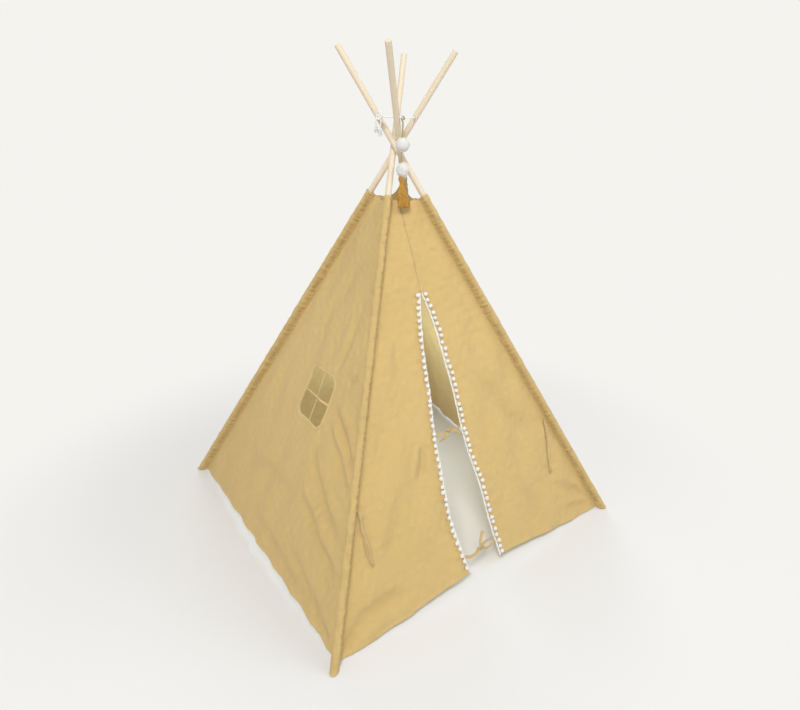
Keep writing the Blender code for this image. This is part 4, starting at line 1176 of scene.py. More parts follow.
def lay_ribbon(name, side, spots, width, thickness, finish, twist=0.0, step=0.002):
    """A flat strip along (across, height, lift) spots of a side: their smooth line, each lift along the
    cloth's normal, with a ring of rounded edges that may turn by twist from end to end. Returns it and its
    path."""
    line = smooth_line(spots, 10)
    points, normals = side.cloth(line[:, 0], line[:, 1])
    path = spaced(points + normals * line[:, 2:], step)
    wanted, given = np.linspace(0, 1, len(path)), np.linspace(0, 1, len(normals))
    facing = unit(np.stack([np.interp(wanted, given, normals[:, k]) for k in range(3)], axis=1))
    across, up = frames(path, facing)
    angle = twist * ease(np.linspace(0, 1, len(path)))[:, None]
    turned = across * np.cos(angle) + up * np.sin(angle)
    up = up * np.cos(angle) - across * np.sin(angle)
    rings = swept(path, flat_ring(width, thickness), turned, up)
    return tube_object(name, rings, finish), path


class TEEPEE_OT_tiebacks(bpy.types.Operator):
    """Makes the two tiebacks, each two thin strips that hang from a front sleeve's stitch line"""

    bl_idname = "teepee.tiebacks"
    bl_label = "Tiebacks"

    def execute(self, context):
        finish = material("tan_strip", ribbon_cloth, tuple(context.scene.teepee_trim.tie_colour))
        left_top, right_top = TIEBACK_HEIGHT - LEFT_TIEBACK_DROP, TIEBACK_HEIGHT + RIGHT_TIEBACK_RISE
        plans = (
            ("tieback_left", 0, FRONT_LEFT, left_top, -0.003, 1.0),
            ("tieback_right", 1, FRONT_RIGHT, right_top, -0.016, RIGHT_TIEBACK_SHARE),
        )
        for name, end, corner, top, lean, stretch in plans:
            hand = -1 if end == 0 else 1
            root = float(FRONT.ends(top)[end]) - hand * (SEAM_GAP + TIEBACK_DIAMETER)
            fall = stretch * TIEBACK_LENGTH * math.cos(SIDE_SLOPE)
            long_run = ((0, 0), (0.005, 0.10), (0.010, 0.40), (0.007, 0.72), (0.014, 1.0))
            short_run = ((0, 0.005), (0.007, 0.08), (0.006, 0.34), (0.014, 0.66), (0.011, 0.95))
            tails = (("long", long_run, 0.0046, 0.6), ("short", short_run, 0.0066, -0.6))
            for label, run, lift, twist in tails:
                spots = [(root - hand * x + lean * y, top - fall * y, lift) for x, y in run]
                piece, path = lay_ribbon(
                    f"{name}_{label}", FRONT, spots, TIEBACK_DRAWN_WIDTH, RIBBON_THICKNESS, finish, twist
                )
                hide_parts(name)
                fold_with(piece, corner.body, corner, FRONT)
        return {"FINISHED"}


class TEEPEE_OT_ties(bpy.types.Operator):
    """Makes the two knotted pairs of ribbons that hold the door's edges together"""

    bl_idname = "teepee.ties"
    bl_label = "Door ties"

    def execute(self, context):
        finish = material("tan_strip", ribbon_cloth, tuple(context.scene.teepee_trim.tie_colour))
        lift = -(CLOTH + RIBBON_THICKNESS) / 2 - SEAM_GAP
        plans = (
            ("upper", UPPER_TIE_HEIGHT, 0.004, ((-0.045, -0.022, 50), (0.043, -0.024, -40))),
            ("lower", LOWER_TIE_HEIGHT, 0.010, ((0.022, 0.044, 40), (0.050, 0.013, -30))),
        )
        for level, height, sag, tails in plans:
            low, high = float(left_edge(height)), float(right_edge(height))
            knot = low + (high - low) * TIE_KNOT_SHARE
            parts = (
                (f"{level}_tie_left", low - TIE_ROOT_LENGTH, low, knot, "left_door", FRONT_LEFT),
                (f"{level}_tie_right", high + TIE_ROOT_LENGTH, high, knot, "right_door", FRONT_RIGHT),
            )
            for name, root, edge, end, body, corner in parts:
                spots = (
                    (root, height, lift),
                    (edge, height, lift),
                    ((edge + end) / 2, height - sag, lift - 0.001),
                    (end + (edge - end) * 0.06, height - 0.001, lift),
                )
                piece, path = lay_ribbon(
                    f"{name}_ribbon", FRONT, spots, TIE_DRAWN_WIDTH, RIBBON_THICKNESS, finish, 0.6
                )
                self.finish_cord(piece, path, name, body, corner, "knot")
            centre, normal = FRONT.cloth(knot, height)
            centre = centre + normal * lift
            self.knot(f"{level}_tie_knot_wrap", centre, f"{level}_tie_knot", finish)
            for k, (x, y, twist) in enumerate(tails):
                way = unit((x, y))
                spots = (
                    (knot + way[0] * 0.003, height + way[1] * 0.003, lift + 0.001),
                    (knot + x * 0.4 - y * 0.12, height + y * 0.4 + x * 0.12, lift + 0.002),
                    (knot + x, height + y, lift + 0.001),
                )
                piece, path = lay_ribbon(
                    f"{level}_tie_tail_{k + 1}", FRONT, spots, TIE_DRAWN_WIDTH, RIBBON_THICKNESS, finish,
                    math.radians(twist),
                )
                self.finish_cord(piece, path, f"{level}_tie_tail", "right_door", FRONT_RIGHT, "bare")
        return {"FINISHED"}

    def finish_cord(self, piece, path, node, body, corner, far_end):
        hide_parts(node)
        fold_with(piece, body, corner, FRONT)

    def knot(self, name, centre, node, finish):
        """A flat overhand knot of ribbon: a trefoil line whose strip is wrapped tight round itself."""
        x, y, z = trefoil(96)
        size = TIE_KNOT_RADIUS / 3.4
        local = np.stack([x * 1.15, z * 1.1, y * 0.85], axis=-1) * size
        path = centre + local
        side, up = closed_frames(path, local + np.array((0, -0.6 * size, 0)))
        rings = swept(path, flat_ring(RIBBON_WIDTH * 0.72, RIBBON_THICKNESS * 1.7), side, up)
        piece = tube_object(name, rings, finish, closed=True)
        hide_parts(node)
        fold_with(piece, "right_door", FRONT_RIGHT, FRONT)


class TEEPEE_OT_ornament(bpy.types.Operator):
    """Makes the flat cord looped over the rope, the two felt balls and the yarn tassel"""

    bl_idname = "teepee.ornament"
    bl_label = "Ornament"

    def execute(self, context):
        settings = context.scene.teepee_ornament
        place = hang_point()
        flat = material("khaki_cord", ribbon_cloth, tuple(settings.cord_colour))
        felt = material("white_felt", yarn, tuple(settings.ball_colour), 0.0026, 0.0012, 0.9)
        ochre = material("ochre_yarn", yarn, tuple(settings.tassel_colour), 0.0030, 0.0008, 0.55)
        balls = [
            self.ball("upper", place, UPPER_BALL_DROP, (1.0, 1.0, 0.99), felt, 3),
            self.ball("lower", place, LOWER_BALL_DROP, (0.90, 0.92, 1.06), felt, 9),
        ]
        tassel = self.tassel(place, settings, ochre)
        reach = ORNAMENT_LOOP_RADIUS
        centre = place - np.array((0, 0, reach - ROPE_DIAMETER / 2 - 0.0015 - SEAM_GAP))
        angle = np.radians(np.arange(-50, 191, 20))
        loop = centre + np.stack([0 * angle, -np.cos(angle) * reach, np.sin(angle) * reach], axis=-1)
        foot = place - np.array((-TASSEL_SHIFT, 0, TASSEL_DROP))
        stem = centre - np.array((0, 0, reach * 2.4))
        neck = stem + np.array((0, 0.35, 0.9)) * reach
        inside = foot - np.array((-TASSEL_LEAN, TASSEL_STANDOFF, TASSEL_LENGTH)) * 0.45
        run = [*loop, neck, stem, (stem + foot) / 2, foot, inside]
        path = spaced(smooth_line(run, 12), 0.0012)
        side = np.broadcast_to(np.array((1.0, 0, 0)), path.shape)
        way = unit(np.gradient(path, axis=0))
        up = unit(np.cross(way, side))
        turn = 0.7 * np.sin(np.linspace(0, 9, len(path))) * ease(np.linspace(-1, 3, len(path)))
        turn = turn[:, None]
        turned = side * np.cos(turn) + up * np.sin(turn)
        rings = swept(path, flat_ring(ORNAMENT_CORD_WIDTH, 0.0014), turned, np.cross(turned, way))
        cord = tube_object("ornament_ribbon", rings, flat)
        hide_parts("ornament_cord")
        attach(cord, "ornament")
        return {"FINISHED"}

    def ball(self, label, place, drop, shares, felt, seed):
        """Hand-rolled felt: a ball whose radius wanders by waves of 15, 5 and 2 mm."""
        ways = ball_points(84, 52)
        centre = place - np.array((0, 0, drop))
        points = ways * BALL_RADIUS * np.array(shares)
        lift = 0.45 * MM * waves(points, 0.017, 18, seed) + 0.22 * MM * waves(points, 0.0055, 30, seed + 1)
        lift = lift + 0.10 * MM * waves(points, 0.0022, 40, seed + 2)
        points = points + ways * (lift - 0.5 * MM)[:, None]
        piece = mesh_object(f"felt_ball_{label}", centre + points, list(ball_faces(84, 52)), felt)
        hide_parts(f"{label}_ball")
        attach(piece, "ornament")
        return piece

    def tassel(self, place, settings, ochre):
        """Strands spread from a round head, drawn in at a bound neck, opening to a flat skirt: a strand at
        share q of the bundle's width stands q times the profile's radius from its middle line."""
        draw = np.random.default_rng(17)
        count = settings.strands
        top = place - np.array((-TASSEL_SHIFT, 0, TASSEL_DROP + SEAM_GAP))
        t = np.linspace(0, 1, 49)
        spots = np.arange(count) + 0.5
        q = np.sqrt(spots / count)[:, None]
        turn = (spots * math.pi * (3 - math.sqrt(5)))[:, None]
        head, skirt = TASSEL_HEAD_DIAMETER / 2, TASSEL_SKIRT_DIAMETER / 2
        profile = smooth_table(
            ((0, head * 0.55), (0.05, head * 0.98), (0.13, head), (0.19, head * 0.62), (0.32, head * 1.15),
             (0.6, skirt * 0.66), (0.85, skirt * 0.9), (1, skirt * 0.94)), t)
        flat = TASSEL_SKIRT_DEPTH / TASSEL_SKIRT_DIAMETER
        depth = 1 + (flat - 1) * ease((t - 0.12) / 0.35)
        sway = 0.0013 * np.sin(t[None] * draw.uniform(4, 9, (count, 1)) * 2 + turn) * ease((t - 0.2) / 0.4)
        short = 0.07 * draw.uniform(0, 1, (count, 1)) + 0.03 * (1 + np.cos(2 * turn)) / 2
        length = TASSEL_LENGTH * (1 - short)
        lines = np.empty((count, len(t), 3))
        lines[..., 0] = top[0] + np.cos(turn) * q * profile + sway + TASSEL_LEAN * t
        lines[..., 1] = top[1] + np.sin(turn) * q * profile * depth - TASSEL_STANDOFF * t
        lines[..., 2] = top[2] - length * t
        neck = 1 - 0.45 * bell((t - 0.19) / 0.05)
        radius = STRAND_RADIUS * (1 + 0.10 * np.sin(t * 60)) * (1 - 0.10 * t) * neck
        radii = np.broadcast_to(radius, (count, len(t)))
        strands = strands_object("tassel_strands", lines, radii, ochre, 6)
        angle = np.linspace(0, 2 * math.pi * 6, 120)
        down = TASSEL_LENGTH * (0.165 + 0.055 * angle / angle[-1])
        wrap_radius = head * 0.78
        path = np.stack(
            [
                top[0] + np.cos(angle) * wrap_radius + TASSEL_LEAN * down / TASSEL_LENGTH,
                top[1] + np.sin(angle) * wrap_radius - TASSEL_STANDOFF * down / TASSEL_LENGTH,
                top[2] - down,
            ],
            axis=-1,
        )
        rings = rope_rings(path, 0.0013, (0, 0, 1), 0.004, 2, 10)
        wrap = tube_object("tassel_binding", rings, ochre)
        for piece in (strands, wrap):
            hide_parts("tassel")
            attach(piece, "ornament")
        return strands, wrap


class TEEPEE_OT_poles(bpy.types.Operator):
    """Makes the upper poles as smooth dowels with eased ends and a rope hole, and finishes the hidden ones"""

    bl_idname = "teepee.poles"
    bl_label = "Poles"

    def execute(self, context):
        settings = context.scene.teepee_poles
        metal = material("drawn_tube", drawn_metal, tuple(settings.metal))
        for corner in CORNERS:
            wood = material(f"pine_{corner.name}", pine, tuple(settings.colour), corner)
            self.upper(corner, settings.sides, wood)
            for node, finish in (("lower_pole", wood), ("ferrule", metal)):
                self.repaint(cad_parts[f"{node}_{corner.name}"], finish)
        return {"FINISHED"}

    def repaint(self, node, finish):
        for slot in node.material_slots:
            slot.material = finish

    def upper(self, corner, sides, wood):
        """A dowel: rings of one radius, eased at both ends by a quarter round, then bored for the rope."""
        angle = np.linspace(0, math.pi / 2, 7)
        inset = POLE_END_ROUND * (1 - np.cos(angle))
        shrink = POLE_END_ROUND * (1 - np.sin(angle))
        body = np.linspace(POLE_JOIN_PLACE + POLE_END_ROUND, POLE_LENGTH - POLE_END_ROUND, 60)[1:-1]
        places = np.concatenate([POLE_JOIN_PLACE + inset, body, (POLE_LENGTH - inset)[::-1]])
        radii = POLE_RADIUS - np.concatenate([shrink, np.zeros(len(body)), shrink[::-1]])
        path = corner.at(places)
        along = np.broadcast_to(corner.inward, path.shape)
        across = np.broadcast_to(corner.across, path.shape)
        rings = swept(path, round_ring(sides), along, across, radii)
        pole = tube_object(f"dowel_upper_{corner.name}", rings, wood)
        hole = corner.at(ROPE_HOLE_PLACE)
        bore_path = np.stack([hole - corner.side * POLE_RADIUS * 2, hole + corner.side * POLE_RADIUS * 2])
        square = unit(np.cross(corner.along, corner.side))
        bore_side, bore_up = (np.broadcast_to(way, bore_path.shape) for way in (corner.along, square))
        bore_ring = round_ring(28, ROPE_DIAMETER / 2 + ROPE_HOLE_CLEARANCE)
        bore = tube_object(f"bore_{corner.name}", swept(bore_path, bore_ring, bore_side, bore_up), wood)
        cut = pole.modifiers.new("rope hole", "BOOLEAN")
        cut.object = bore
        graph = bpy.context.evaluated_depsgraph_get()
        bored = bpy.data.meshes.new_from_object(pole.evaluated_get(graph))
        pole.modifiers.clear()
        pole.data = bored
        bored.name = pole.name
        bpy.data.objects.remove(bore)
        bored.set_sharp_from_angle(angle=math.radians(35))
        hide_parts(f"upper_pole_{corner.name}")
        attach(pole, corner.body)


class TEEPEE_OT_sleeves(bpy.types.Operator):
    """Makes the four corner sleeves, gathered along their stitch line and closed at the foot as a pocket"""

    bl_idname = "teepee.sleeves"
    bl_label = "Sleeves"

    def execute(self, context):
        finish = material("cotton_cover", cotton, tuple(context.scene.teepee_cloth.colour))
        for k, corner in enumerate(CORNERS):
            self.sleeve(corner, 61 + k, finish)
        return {"FINISHED"}

    def outline(self, sides):
        """Round the pole, then straight to the stitch line, as (x, y) with x towards the stitching."""
        opening = math.acos(SLEEVE_OUTER / STITCH_REACH)
        arc = np.linspace(opening, 2 * math.pi - opening, sides)
        round_part = np.stack([np.cos(arc), np.sin(arc)], axis=-1) * SLEEVE_OUTER
        lip = np.array((STITCH_REACH, STITCH_THICKNESS / 2))
        share = ease(np.linspace(0, 1, 9))[1:-1, None]
        upper = lip + (round_part[0] - lip) * share
        lower = upper[::-1] * np.array((1, -1))
        return np.vstack([lip, upper, round_part, lower, lip * np.array((1, -1))])

    def creases(self, corner, x, y, places, seed):
        """The cloth's height over the sleeve: sharp creases every 13 and 19 mm across the flat part that fade
        round the pole, a swelling over the ferrule with a ring crease at each of its ends, and soft waves. It
        sinks only as far as the pole and the opposite cloth leave room."""
        draw = np.random.default_rng(seed)
        spots = np.stack(np.broadcast_arrays(x, y, places), axis=-1)
        run = places + 5 * MM * waves(spots[..., 2:], 0.11, 5, seed)
        flat = ease((x + 0.013) / 0.018)
        side = np.sign(y) * 0.6
        strength = np.clip(0.8 + 0.4 * waves(spots[..., 2:], 0.12, 5, seed + 1), 0.4, 1.6)
        fine = 0.35 * np.sin(2 * math.pi * run / 0.0211 + 2 * side)
        for pitch, weight, seat in ((0.0128, 1.0, 0.1), (0.0187, 0.7, 0.55)):
            turn = (run + 0.004 * side) / pitch + seat
            fine = fine - weight * bell((turn - np.round(turn)) * pitch / 0.0031)
        lift = 2.5 * MM * fine * strength * flat
        lift = lift + 0.45 * MM * waves(spots, 0.03, 16, seed + 2)
        ends = POLE_JOIN_PLACE - FERRULE_LENGTH / 2, POLE_JOIN_PLACE + FERRULE_LENGTH / 2
        swell = ease((places - ends[0]) / 0.012) * ease((ends[1] - places) / 0.012)
        lift = lift + 0.6 * MM * swell
        marks = [(place, 1.9) for place in ends]
        marks += [(place, draw.uniform(0.9, 1.7)) for place in draw.uniform(0.12, 1.3, 9)]
        for place, depth in marks:
            tilt = draw.uniform(-0.35, 0.35)
            gap = places + tilt * (x + 0.01) - place
            lift = lift - depth * MM * bell(gap / 0.0036) * (0.4 + 0.6 * flat)
        room = np.hypot(x, y) - POLE_RADIUS - SLEEVE_ROOM
        room = np.maximum(np.where(x > 0, np.minimum(room, np.abs(y) - CLOTH), room), 0.1 * MM)
        return np.where(lift < 0, -room * np.tanh(-lift / room), lift)

    def sleeve(self, corner, seed, finish):
        """Rings carried up the pole. Near the floor a ring tilts until it lies level, and its last rings
        shrink to a rounded, flat foot; at the top the wall turns in and runs back down inside."""
        outline = self.outline(31)
        sides = len(outline)
        rise_place = BACK_RIGHT_TOP_RISE / math.cos(LEAN) if corner is BACK_RIGHT else 0
        top_place = SLEEVE_TOP_PLACE + rise_place
        foot = SLEEVE_FOOT
        low, high = np.linspace(foot, 0.06, 26)[1:], np.arange(0.0622, top_place, 0.0022)
        places = np.concatenate([[foot] * 6, low, high, [top_place]])
        shrink = np.ones(len(places))
        shrink[:6] = (0.30, 0.62, 0.82, 0.91, 0.96, 0.985)
        rise = np.zeros(len(places))
        rise[:6] = (0.0, 0.0, 0.0003, 0.0008, 0.0016, 0.0026)
        x, y = outline[None, :, 0], outline[None, :, 1]
        lift = self.creases(corner, x, y, places[:, None], seed)
        stitch = ease((STITCH_REACH - np.abs(x)) / 0.003)
        calm = ease((places - foot) / 0.02)[:, None]
        tangent = np.roll(outline, -1, axis=0) - np.roll(outline, 1, axis=0)
        tangent[0], tangent[-1] = outline[1] - outline[0], outline[-1] - outline[-2]
        out = unit(np.stack([tangent[:, 1], -tangent[:, 0]], axis=-1))
        top = top_place - places[:, None]
        band = 0.9 * MM * ease((0.011 - top) / 0.0018) - 0.8 * MM * bell((top - 0.0122) / 0.0016)

        def wall(offset):
            ring_x = (x + out[:, 0] * (lift * stitch * calm + band * stitch + offset)) * shrink[:, None]
            ring_y = (y + out[:, 1] * (lift * stitch * calm + band * stitch + offset)) * shrink[:, None]
            points = corner.at(places)[:, None] + ring_x[..., None] * corner.inward
            points = points + ring_y[..., None] * corner.across
            level = ease(1 - (places - foot) / 0.05)[:, None]
            down = (points - corner.at(places)[:, None])[..., 2] / corner.along[2]
            points = points - (down * level)[..., None] * corner.along
            points[..., 2] += rise[:, None] * level
            return points

        outer = wall(0.0)
        inner_rows = np.arange(len(places) - 1, 12, -3)
        inner = wall(-CLOTH * 0.8)[inner_rows]
        rings = np.concatenate([outer, inner])
        steps = len(rings)
        faces = [grid_faces(steps, sides, True), end_fans(steps, sides)]
        points = np.vstack([rings.reshape(-1, 3), outer[0].mean(axis=0), inner[-1].mean(axis=0)])
        turn = distances(outline)
        along = np.concatenate([places, places[inner_rows]])
        uv = np.stack(np.broadcast_arrays(turn[None], along[:, None]), axis=-1).reshape(-1, 2)
        uv = np.vstack([uv, [[0, 0], [0, 0]]])
        seam = np.where(np.abs(x) > 0, STITCH_REACH - x - 0.0026, 0)
        seam = np.broadcast_to(seam, (steps, sides)).ravel()
        hem = np.broadcast_to(top_place - along[:, None] - 0.0095, (steps, sides)).ravel()
        # Painted shade: how deep each sleeve crease sinks, which darkens the cotton's colour there
        depth = np.zeros((steps, sides))
        depth[: len(places)] = np.clip(-lift * stitch * calm / SLEEVE_CREASE_SHADE_FULL_DEPTH, 0, 1)
        values = {
            "side_gap": np.append(seam, [1, 1]),
            "hem_gap": np.append(hem, [1, 1]),
            "crease": np.append(depth.ravel(), [0, 0]),
            "seam_gap": np.ones(len(points)),
        }
        piece = mesh_object(f"sleeve_cloth_{corner.name}", points, faces, finish, uv, values)
        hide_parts(f"sleeve_{corner.name}")
        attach(piece, corner.body)


def column_shares(columns, width):
    """Shares across a sheet, with four close columns at each of its two ends."""
    edge = np.array((0, 0.0012, 0.003, 0.0055)) / width
    middle = np.linspace(0.009 / width, 1 - 0.009 / width, columns)
    return np.concatenate([edge, middle, 1 - edge[::-1]])


def row_shares(rows):
    """Shares up a side, closer together along the hem and the top edge."""
    edge = 0.0125
    hem = np.linspace(0, edge, 8, endpoint=False)
    return np.concatenate([hem, np.linspace(edge, 1 - edge, rows, endpoint=False), 1 - hem[::-1]])


def window_distance(across, height):
    """Distance out from the window's rounded outline, below 0 inside it."""
    x = np.abs(across - WINDOW_SHIFT) - (WINDOW_WIDTH / 2 - WINDOW_CORNER)
    y = np.abs((height - WINDOW_HEIGHT) / math.cos(SIDE_SLOPE)) - (WINDOW_TALL / 2 - WINDOW_CORNER)
    outside = np.hypot(np.maximum(x, 0), np.maximum(y, 0))
    return outside + np.minimum(np.maximum(x, y), 0) - WINDOW_CORNER


def window_outline(share, offset):
    """Across places and heights round the window, offset out from its outline, at shares of a turn."""
    half_x, half_y, corner = WINDOW_WIDTH / 2, WINDOW_TALL / 2, WINDOW_CORNER
    runs = np.array([half_y - corner, corner * math.pi / 2, 2 * (half_x - corner), corner * math.pi / 2,
                     2 * (half_y - corner), corner * math.pi / 2, 2 * (half_x - corner), corner * math.pi / 2,
                     half_y - corner])
    stops = np.concatenate([[0], np.cumsum(runs)])
    s = np.mod(share, 1.0) * stops[-1]
    angles = np.array([0, 0, 90, 90, 180, 180, 270, 270, 360, 360]) * math.pi / 180
    angle = np.interp(s, stops, angles)
    flat = half_x - corner, half_y - corner
    xs = flat[0] * np.array([1, 1, 1, -1, -1, -1, -1, 1, 1, 1])
    ys = flat[1] * np.array([0, 1, 1, 1, 1, -1, -1, -1, -1, 0])
    x = np.interp(s, stops, xs) + np.cos(angle) * (corner + offset)
    y = np.interp(s, stops, ys) + np.sin(angle) * (corner + offset)
    return WINDOW_SHIFT + x, WINDOW_HEIGHT + y * math.cos(SIDE_SLOPE)


class TEEPEE_OT_panels(bpy.types.Operator):
    """Makes the cover's sides as creased cloth with turned hems, each half held by its own pole"""

    bl_idname = "teepee.panels"
    bl_label = "Cover"

    def execute(self, context):
        settings = context.scene.teepee_cloth
        finish = material("cotton_cover", cotton, tuple(settings.colour))
        halves = (
            ("left", LEFT, "left_panel", 1.0),
            ("back", BACK, "back_panel", 1.5),
            ("right", RIGHT, "right_panel", 1.5),
        )
        for label, side, node, coarse in halves:
            for end, corner in enumerate((side.first, side.second)):
                bounds = (side.bound(0), side.split) if end == 0 else (side.split, side.bound(1))
                name = f"{label}_cover_{corner.name}"
                piece, flat, area = self.sheet(name, side, bounds, settings, finish, coarse=coarse,
                                               window=label == "left" and end == 0)
                self.hold(piece, flat, area, node, corner.body, corner, side)
        flap_top = SLIT_TOP_HEIGHT - POMPOM_DIAMETER
        plans = ((-1, FRONT_LEFT, left_edge, "left"), (1, FRONT_RIGHT, right_edge, "right"))
        for hand, corner, edge, word in plans:

            def folded(height, hand=hand):
                return fold_line(hand, height)

            bounds = (FRONT.bound(0), folded) if hand < 0 else (folded, FRONT.bound(1))
            piece, flat, area = self.sheet(f"front_cover_{word}", FRONT, bounds, settings, finish)
            self.hold(piece, flat, area, f"front_{word}_panel", corner.body, corner, FRONT)
            bounds = (folded, edge) if hand < 0 else (edge, folded)
            piece, flat, area = self.sheet(f"door_cover_{word}", FRONT, bounds, settings, finish, top=flap_top)
            self.hold(piece, flat, area, f"{word}_door_flap", f"{word}_door", corner, FRONT)
        return {"FINISHED"}

    def sheet(self, name, side, bounds, settings, finish, coarse=1.0, top=TOP_HEIGHT, window=False):
        """A stretch of a side between two bounds, each a function of the height: levels from hem to top, and
        equal shares across. Its turned hem is a second thickness with a groove where it is sewn."""
        low_bound, high_bound = bounds
        cell = settings.cell * coarse
        rows = int((top - HEM_CORNER_HEIGHT) / math.cos(SIDE_SLOPE) / cell)
        widest = float(abs(high_bound(HEM_CORNER_HEIGHT) - low_bound(HEM_CORNER_HEIGHT)))
        columns = max(int(widest / cell), 6)
        up = row_shares(rows)[:, None]
        over = column_shares(columns, widest)[None, :]
        level = HEM_CORNER_HEIGHT + (top - HEM_CORNER_HEIGHT) * up
        low, high = low_bound(level), high_bound(level)
        share = side.share(low + (high - low) * over, level)
        height = side.hem(share, level)
        low, high = low_bound(height), high_bound(height)
        across = low + (high - low) * over
        keep = None
        if window:
            middle_across = (across[:-1, :-1] + across[1:, 1:]) / 2
            middle_height = (height[:-1, :-1] + height[1:, 1:]) / 2
            keep = window_distance(middle_across, middle_height) > 0
            across, height = self.snap(across, height, keep)
        points, normals = side.cloth(across, height)
        slope = math.cos(SIDE_SLOPE)
        hem = (height - side.hem(side.share(across, height), HEM_CORNER_HEIGHT)) / slope
        crown = (side.hem(side.share(across, height), TOP_HEIGHT) - height) / slope
        width = settings.hem_width
        fold = 0.0
        for gap in (hem, crown):
            fold = fold + 0.55 * MM * ease((width - gap) / 0.0018) - 0.30 * MM * bell((gap - width) / 0.0016)
        if side is FRONT:
            seam = np.abs(across - SLIT_SHIFT)
            ridge = 1.0 * MM * ease((0.0046 - seam) / 0.0015) - 1.2 * MM * bell(seam / 0.0012)
            fold = fold + ridge * ease((height - SLIT_TOP_HEIGHT) / 0.02)
        outer = CLOTH / 2 + fold
        inner = np.full(outer.shape, CLOTH / 2)
        low_end, high_end = side.ends(height)
        side_gap = np.minimum(across - low_end, high_end - across) - 0.0034
        hem_gap = np.where(height < TOP_HEIGHT / 2, hem, crown) - (width - 0.0016)
        uv = np.stack([across, height / slope], axis=-1)
        # Painted shade: the share of darkening in the valleys of the named creases
        crease = 0.42 * np.clip(-side.folded(across, height) / CREASE_SHADE_FULL_DEPTH, 0, 1)
        # The distance from the front seam, for the painted shade along its groove
        seam_gap = across - SLIT_SHIFT if side is FRONT else np.ones(across.shape)
        values = {"hem_gap": hem_gap, "side_gap": side_gap, "crease": crease, "seam_gap": seam_gap}
        piece = cloth_object(name, points, normals, outer, inner, finish, uv, values, keep)
        cells = np.linalg.norm(
            np.cross(points[1:, :-1] - points[:-1, :-1], points[:-1, 1:] - points[:-1, :-1]), axis=-1
        )
        area = float(cells[keep].sum() if keep is not None else cells.sum())
        length = float(np.linalg.norm(np.diff(points[:, 0], axis=0), axis=1).sum())
        return piece, (max(float(np.abs(np.diff(across[0])).sum()), widest), length), area

    def snap(self, across, height, keep):
        """Moves the grid points round the window's hole onto its outline, straight out from it."""
        inside = np.zeros(across.shape, bool)
        outside = np.zeros(across.shape, bool)
        for rows in (slice(None, -1), slice(1, None)):
            for columns in (slice(None, -1), slice(1, None)):
                inside[rows, columns] |= ~keep
                outside[rows, columns] |= keep
        rim = inside & outside
        slope = math.cos(SIDE_SLOPE)
        distance = window_distance(across, height)
        step = 0.1 * MM
        pull_x = (window_distance(across + step, height) - distance) / step
        pull_y = (window_distance(across, height + step * slope) - distance) / step
        across = np.where(rim, across - distance * pull_x, across)
        height = np.where(rim, height - distance * pull_y * slope, height)
        return across, height

    def hold(self, piece, flat, area, node, body, corner, side):
        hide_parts(node)
        area = max(min(area, flat[0] * flat[1]), 0.3 * flat[0] * flat[1])
        fold_with(piece, body, corner, side)


